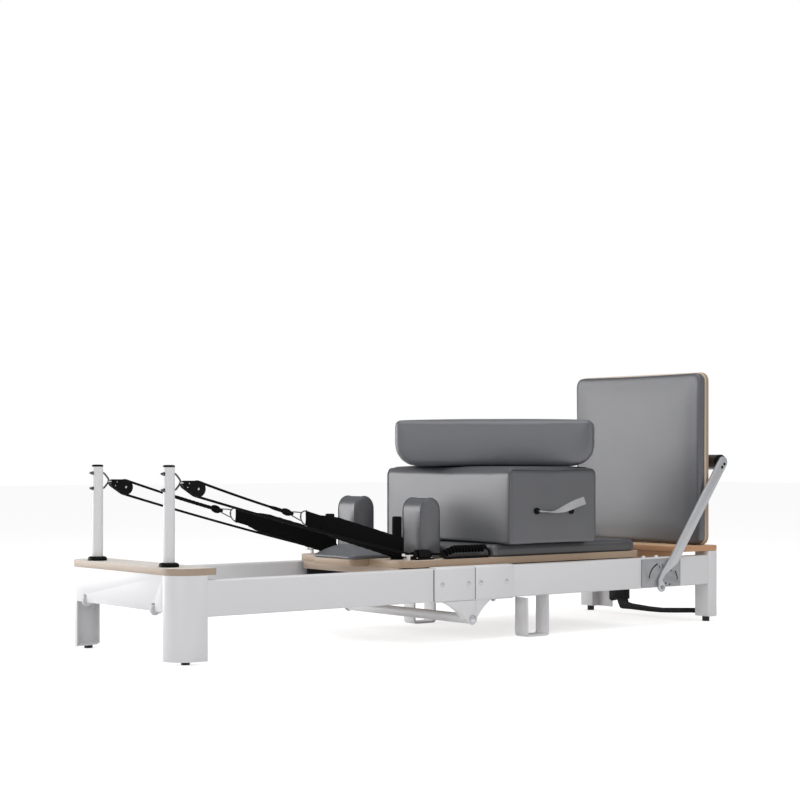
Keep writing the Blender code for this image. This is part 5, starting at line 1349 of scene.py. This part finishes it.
class REFORMER_OT_cushions(bpy.types.Operator):
    """Carriage pad, headrest pad, shoulder rests, sitting box, bolster and jump pad as swollen covers, with piping
    on the box and the rests"""
    bl_idname = "reformer.cushions"
    bl_label = "Cushions"

    def execute(self, context):
        for node, body, cap in (("carriage_pad", "carriage", 0.003), ("jump_board_pad", "jump_board", 0.005),
                                ("sitting_box", "box", 0.006), ("bolster", "bolster", 0.006),
                                ("headrest_pad", "headrest", 0.004)):
            self.cover(node, body, cap)
        for label, _ in SIDES:
            self.rest("shoulder_rest_" + label, label)
        return {"FINISHED"}

    def cover(self, node, body, cap):
        low, high = corners(node)
        obj = copy_node(node)
        small = node == "headrest_pad"
        swell(obj, cap, SMALL_CELL if small else None)
        margin = Vector((SWELL_ROOM, SWELL_ROOM, SWELL_ROOM))
        floor, roof = low - margin, high + margin
        floor.z = low.z
        if node == "jump_board_pad":
            floor.z = low.z - 0.003
            roof.x = high.x
        if node in ("carriage_pad", "sitting_box"):
            roof.z = high.z
        keep_inside(obj, floor, roof)
        if small:
            self.crown(obj, low, high, 0.016)
        # painted light: the bolster and the headrest pad take the lightened copy of the leatherette
        lit_leather = node in ("bolster", "headrest_pad")
        dress(obj, node + "_cover", "painted light leather" if lit_leather else "leather", body, (node,),
              SOFT_ANGLE)
        if node == "carriage_pad":
            # painted shade on the carriage pad's long sides
            paint(obj, "side shade leather", lambda middle: abs(middle.y) > high.y - 0.0035)
        if node == "sitting_box":
            for label, side in SIDES:
                pipe(obj, "sitting_box_piping_" + label, 1, side * (high.y - 0.0075), body, low.z + 0.004)

    def crown(self, obj, low, high, drop):
        """Lowers the top towards its edges, as foam does under a drawn cover"""
        points = get_points(obj)
        middle, half = (low + high) / 2, (high - low) / 2
        u = np.clip((points[:, 0] - middle.x) / half.x, -1, 1)
        v = np.clip((points[:, 1] - middle.y) / half.y, -1, 1)
        rise = np.clip((points[:, 2] - low.z) / (high.z - low.z), 0, 1)
        points[:, 2] -= drop * (1 - (1 - u ** 4) * (1 - v ** 4)) * rise
        set_points(obj, points)

    def rest(self, node, label):
        low, high = corners(node)
        obj = copy_node(node)
        base = DECK_TOP + GAP
        apply_step(obj, "REMESH", mode="VOXEL", voxel_size=REST_CELL, adaptivity=0.0)
        keep_inside(obj, (low.x, low.y, base), high)
        swell(obj, 0.003, REST_CELL)
        keep_inside(obj, (low.x - 0.003, low.y - 0.003, base), (high.x + 0.003, high.y + 0.003, high.z + 0.002))
        dress(obj, node + "_cover", "leather", node, (node,), SOFT_ANGLE)
        for number, y in enumerate((low.y + 0.006, high.y - 0.006)):
            pipe(obj, "shoulder_rest_piping_%s_%d" % (label, number), 1, y, node, base + 0.0025)


# Footbar
class REFORMER_OT_footbar(bpy.types.Operator):
    """Arms, round bar with end caps, adjustment plates with a black sheet behind their slots as painted shade, screws
    and domes
    """
    bl_idname = "reformer.footbar"
    bl_label = "Footbar"

    def execute(self, context):
        flush_screw = [(0, 0.00018), (0.0030, 0.00018), (0.0034, 0.00004), (0.0034, -0.0010), (0, -0.0010)]
        arm_screw = [(0, 0.0022), (0.0030, 0.0021), (0.0052, 0.0012), (0.0056, 0.0), (0.0056, -0.0004), (0, -0.0004)]
        dome = [(0, 0.0072), (0.0036, 0.0066), (0.0062, 0.0048), (0.0074, 0.0020), (0.0076, 0.0), (0, 0.0)]
        for label, side in SIDES:
            out = (0, side, 0)
            # arms in the aluminium lightened as painted light, plates in the same aluminium darkened as painted shade
            refine("footbar_arm_" + label, "footbar", "aluminium", 0.0018, 3)
            refine("quadrant_" + label, "right_frame", "shaded aluminium", 0.0006, 2)
            low, high = corners("quadrant_" + label)
            # painted shade: a black rubber sheet behind the plate, so that its slots read dark
            back = block("quadrant_slot_shade_sheet", (low.x + 0.004, side * RAIL_FACE, 0.1430),
                         (high.x - 0.004, side * 0.3337, 0.2320), 0)
            dress(back, "quadrant_painted_shade_sheet_" + label, "rubber", "right_frame")
            screws = studs(flush_screw, [at(x, side * QUADRANT_FACE, z)
                                         for x, z in ((2.0015, 0.1505), (2.0220, 0.1454))], out, 16)
            dress(screws, "quadrant_screws_" + label, "black steel", "right_frame")
            low, high = corners("footbar_arm_" + label)
            face = max(abs(low.y), abs(high.y))
            screws = studs(arm_screw, [at(x, side * face, z) for x, z in ((2.3020, 0.5700), (2.2900, 0.5590))],
                           out, 20)
            dress(screws, "arm_screws_" + label, "black steel", "footbar")
            rail_top = corners("right_rail_" + label)[1].z
            domes = studs(dome, [at(x, side * 0.3120, rail_top) for x in (1.9120, 1.9760)], (0, 0, 1), 24)
            dress(domes, "rail_domes_" + label, "steel", "right_frame")
        low, high = corners("footbar_roller")
        x, z, r = (low.x + high.x) / 2, (low.z + high.z) / 2, (high.z - low.z) / 2
        half = high.y
        profile = [(0, half), (r - 0.0040, half), (r - 0.0012, half - 0.0010), (r, half - 0.0035),
                   (r, half - 0.0100), (r - 0.0012, half - 0.0104), (r - 0.0012, half - 0.0116), (r, half - 0.0120)]
        bar = lathe("bar", mirrored(profile), (x, 0, z), (0, 1, 0), 64)
        dress(bar, "footbar_tube", "polished", "footbar", ("footbar_roller",))
        paint(bar, "nylon", lambda middle: abs(middle.y) > half - 0.0102)
        return {"FINISHED"}


class REFORMER_OT_lift_bar(bpy.types.Operator):
    """Low lifting bar: bracket under the end beam and a flat band to the near leg"""
    bl_idname = "reformer.lift_bar"
    bl_label = "Lifting bar"

    def execute(self, context):
        refine("lift_bar", "right_frame", "black steel", 0.001)
        return {"FINISHED"}


class REFORMER_PT_panel(bpy.types.Panel):
    """Buttons for the reformer's build steps, and its sizes and colours"""
    bl_idname = "REFORMER_PT_panel"
    bl_label = "Pilates reformer"
    bl_space_type = "VIEW_3D"
    bl_region_type = "UI"
    bl_category = "Reformer"

    def draw(self, context):
        layout = self.layout
        for operator in OPERATORS:
            layout.operator(operator.bl_idname)
        for group in (context.scene.reformer_sizes, context.scene.reformer_colours):
            box = layout.box()
            for name in group.bl_rna.properties.keys():
                if name not in ("rna_type", "name"):
                    box.prop(group, name)


OPERATORS = (REFORMER_OT_stage, REFORMER_OT_straps, REFORMER_OT_ropes, REFORMER_OT_frame_steel, REFORMER_OT_fold,
             REFORMER_OT_boards, REFORMER_OT_posts, REFORMER_OT_pulleys, REFORMER_OT_transport_wheels,
             REFORMER_OT_carriage_wheels, REFORMER_OT_springs, REFORMER_OT_deck_fittings, REFORMER_OT_footbar,
             REFORMER_OT_lift_bar, REFORMER_OT_box_handle, REFORMER_OT_cushions)
GROUPS = (ReformerSizes, ReformerColours)


def register():
    for made in (*GROUPS, *OPERATORS, REFORMER_PT_panel):
        bpy.utils.register_class(made)
    bpy.types.Scene.reformer_sizes = bpy.props.PointerProperty(type=ReformerSizes)
    bpy.types.Scene.reformer_colours = bpy.props.PointerProperty(type=ReformerColours)


def unregister():
    del bpy.types.Scene.reformer_colours
    del bpy.types.Scene.reformer_sizes
    for made in reversed((*GROUPS, *OPERATORS, REFORMER_PT_panel)):
        bpy.utils.unregister_class(made)


def main():
    register()
    for operator in OPERATORS:
        name = operator.bl_idname.split(".")[1]
        getattr(bpy.ops.reformer, name)()


if __name__ == "__main__":
    main()
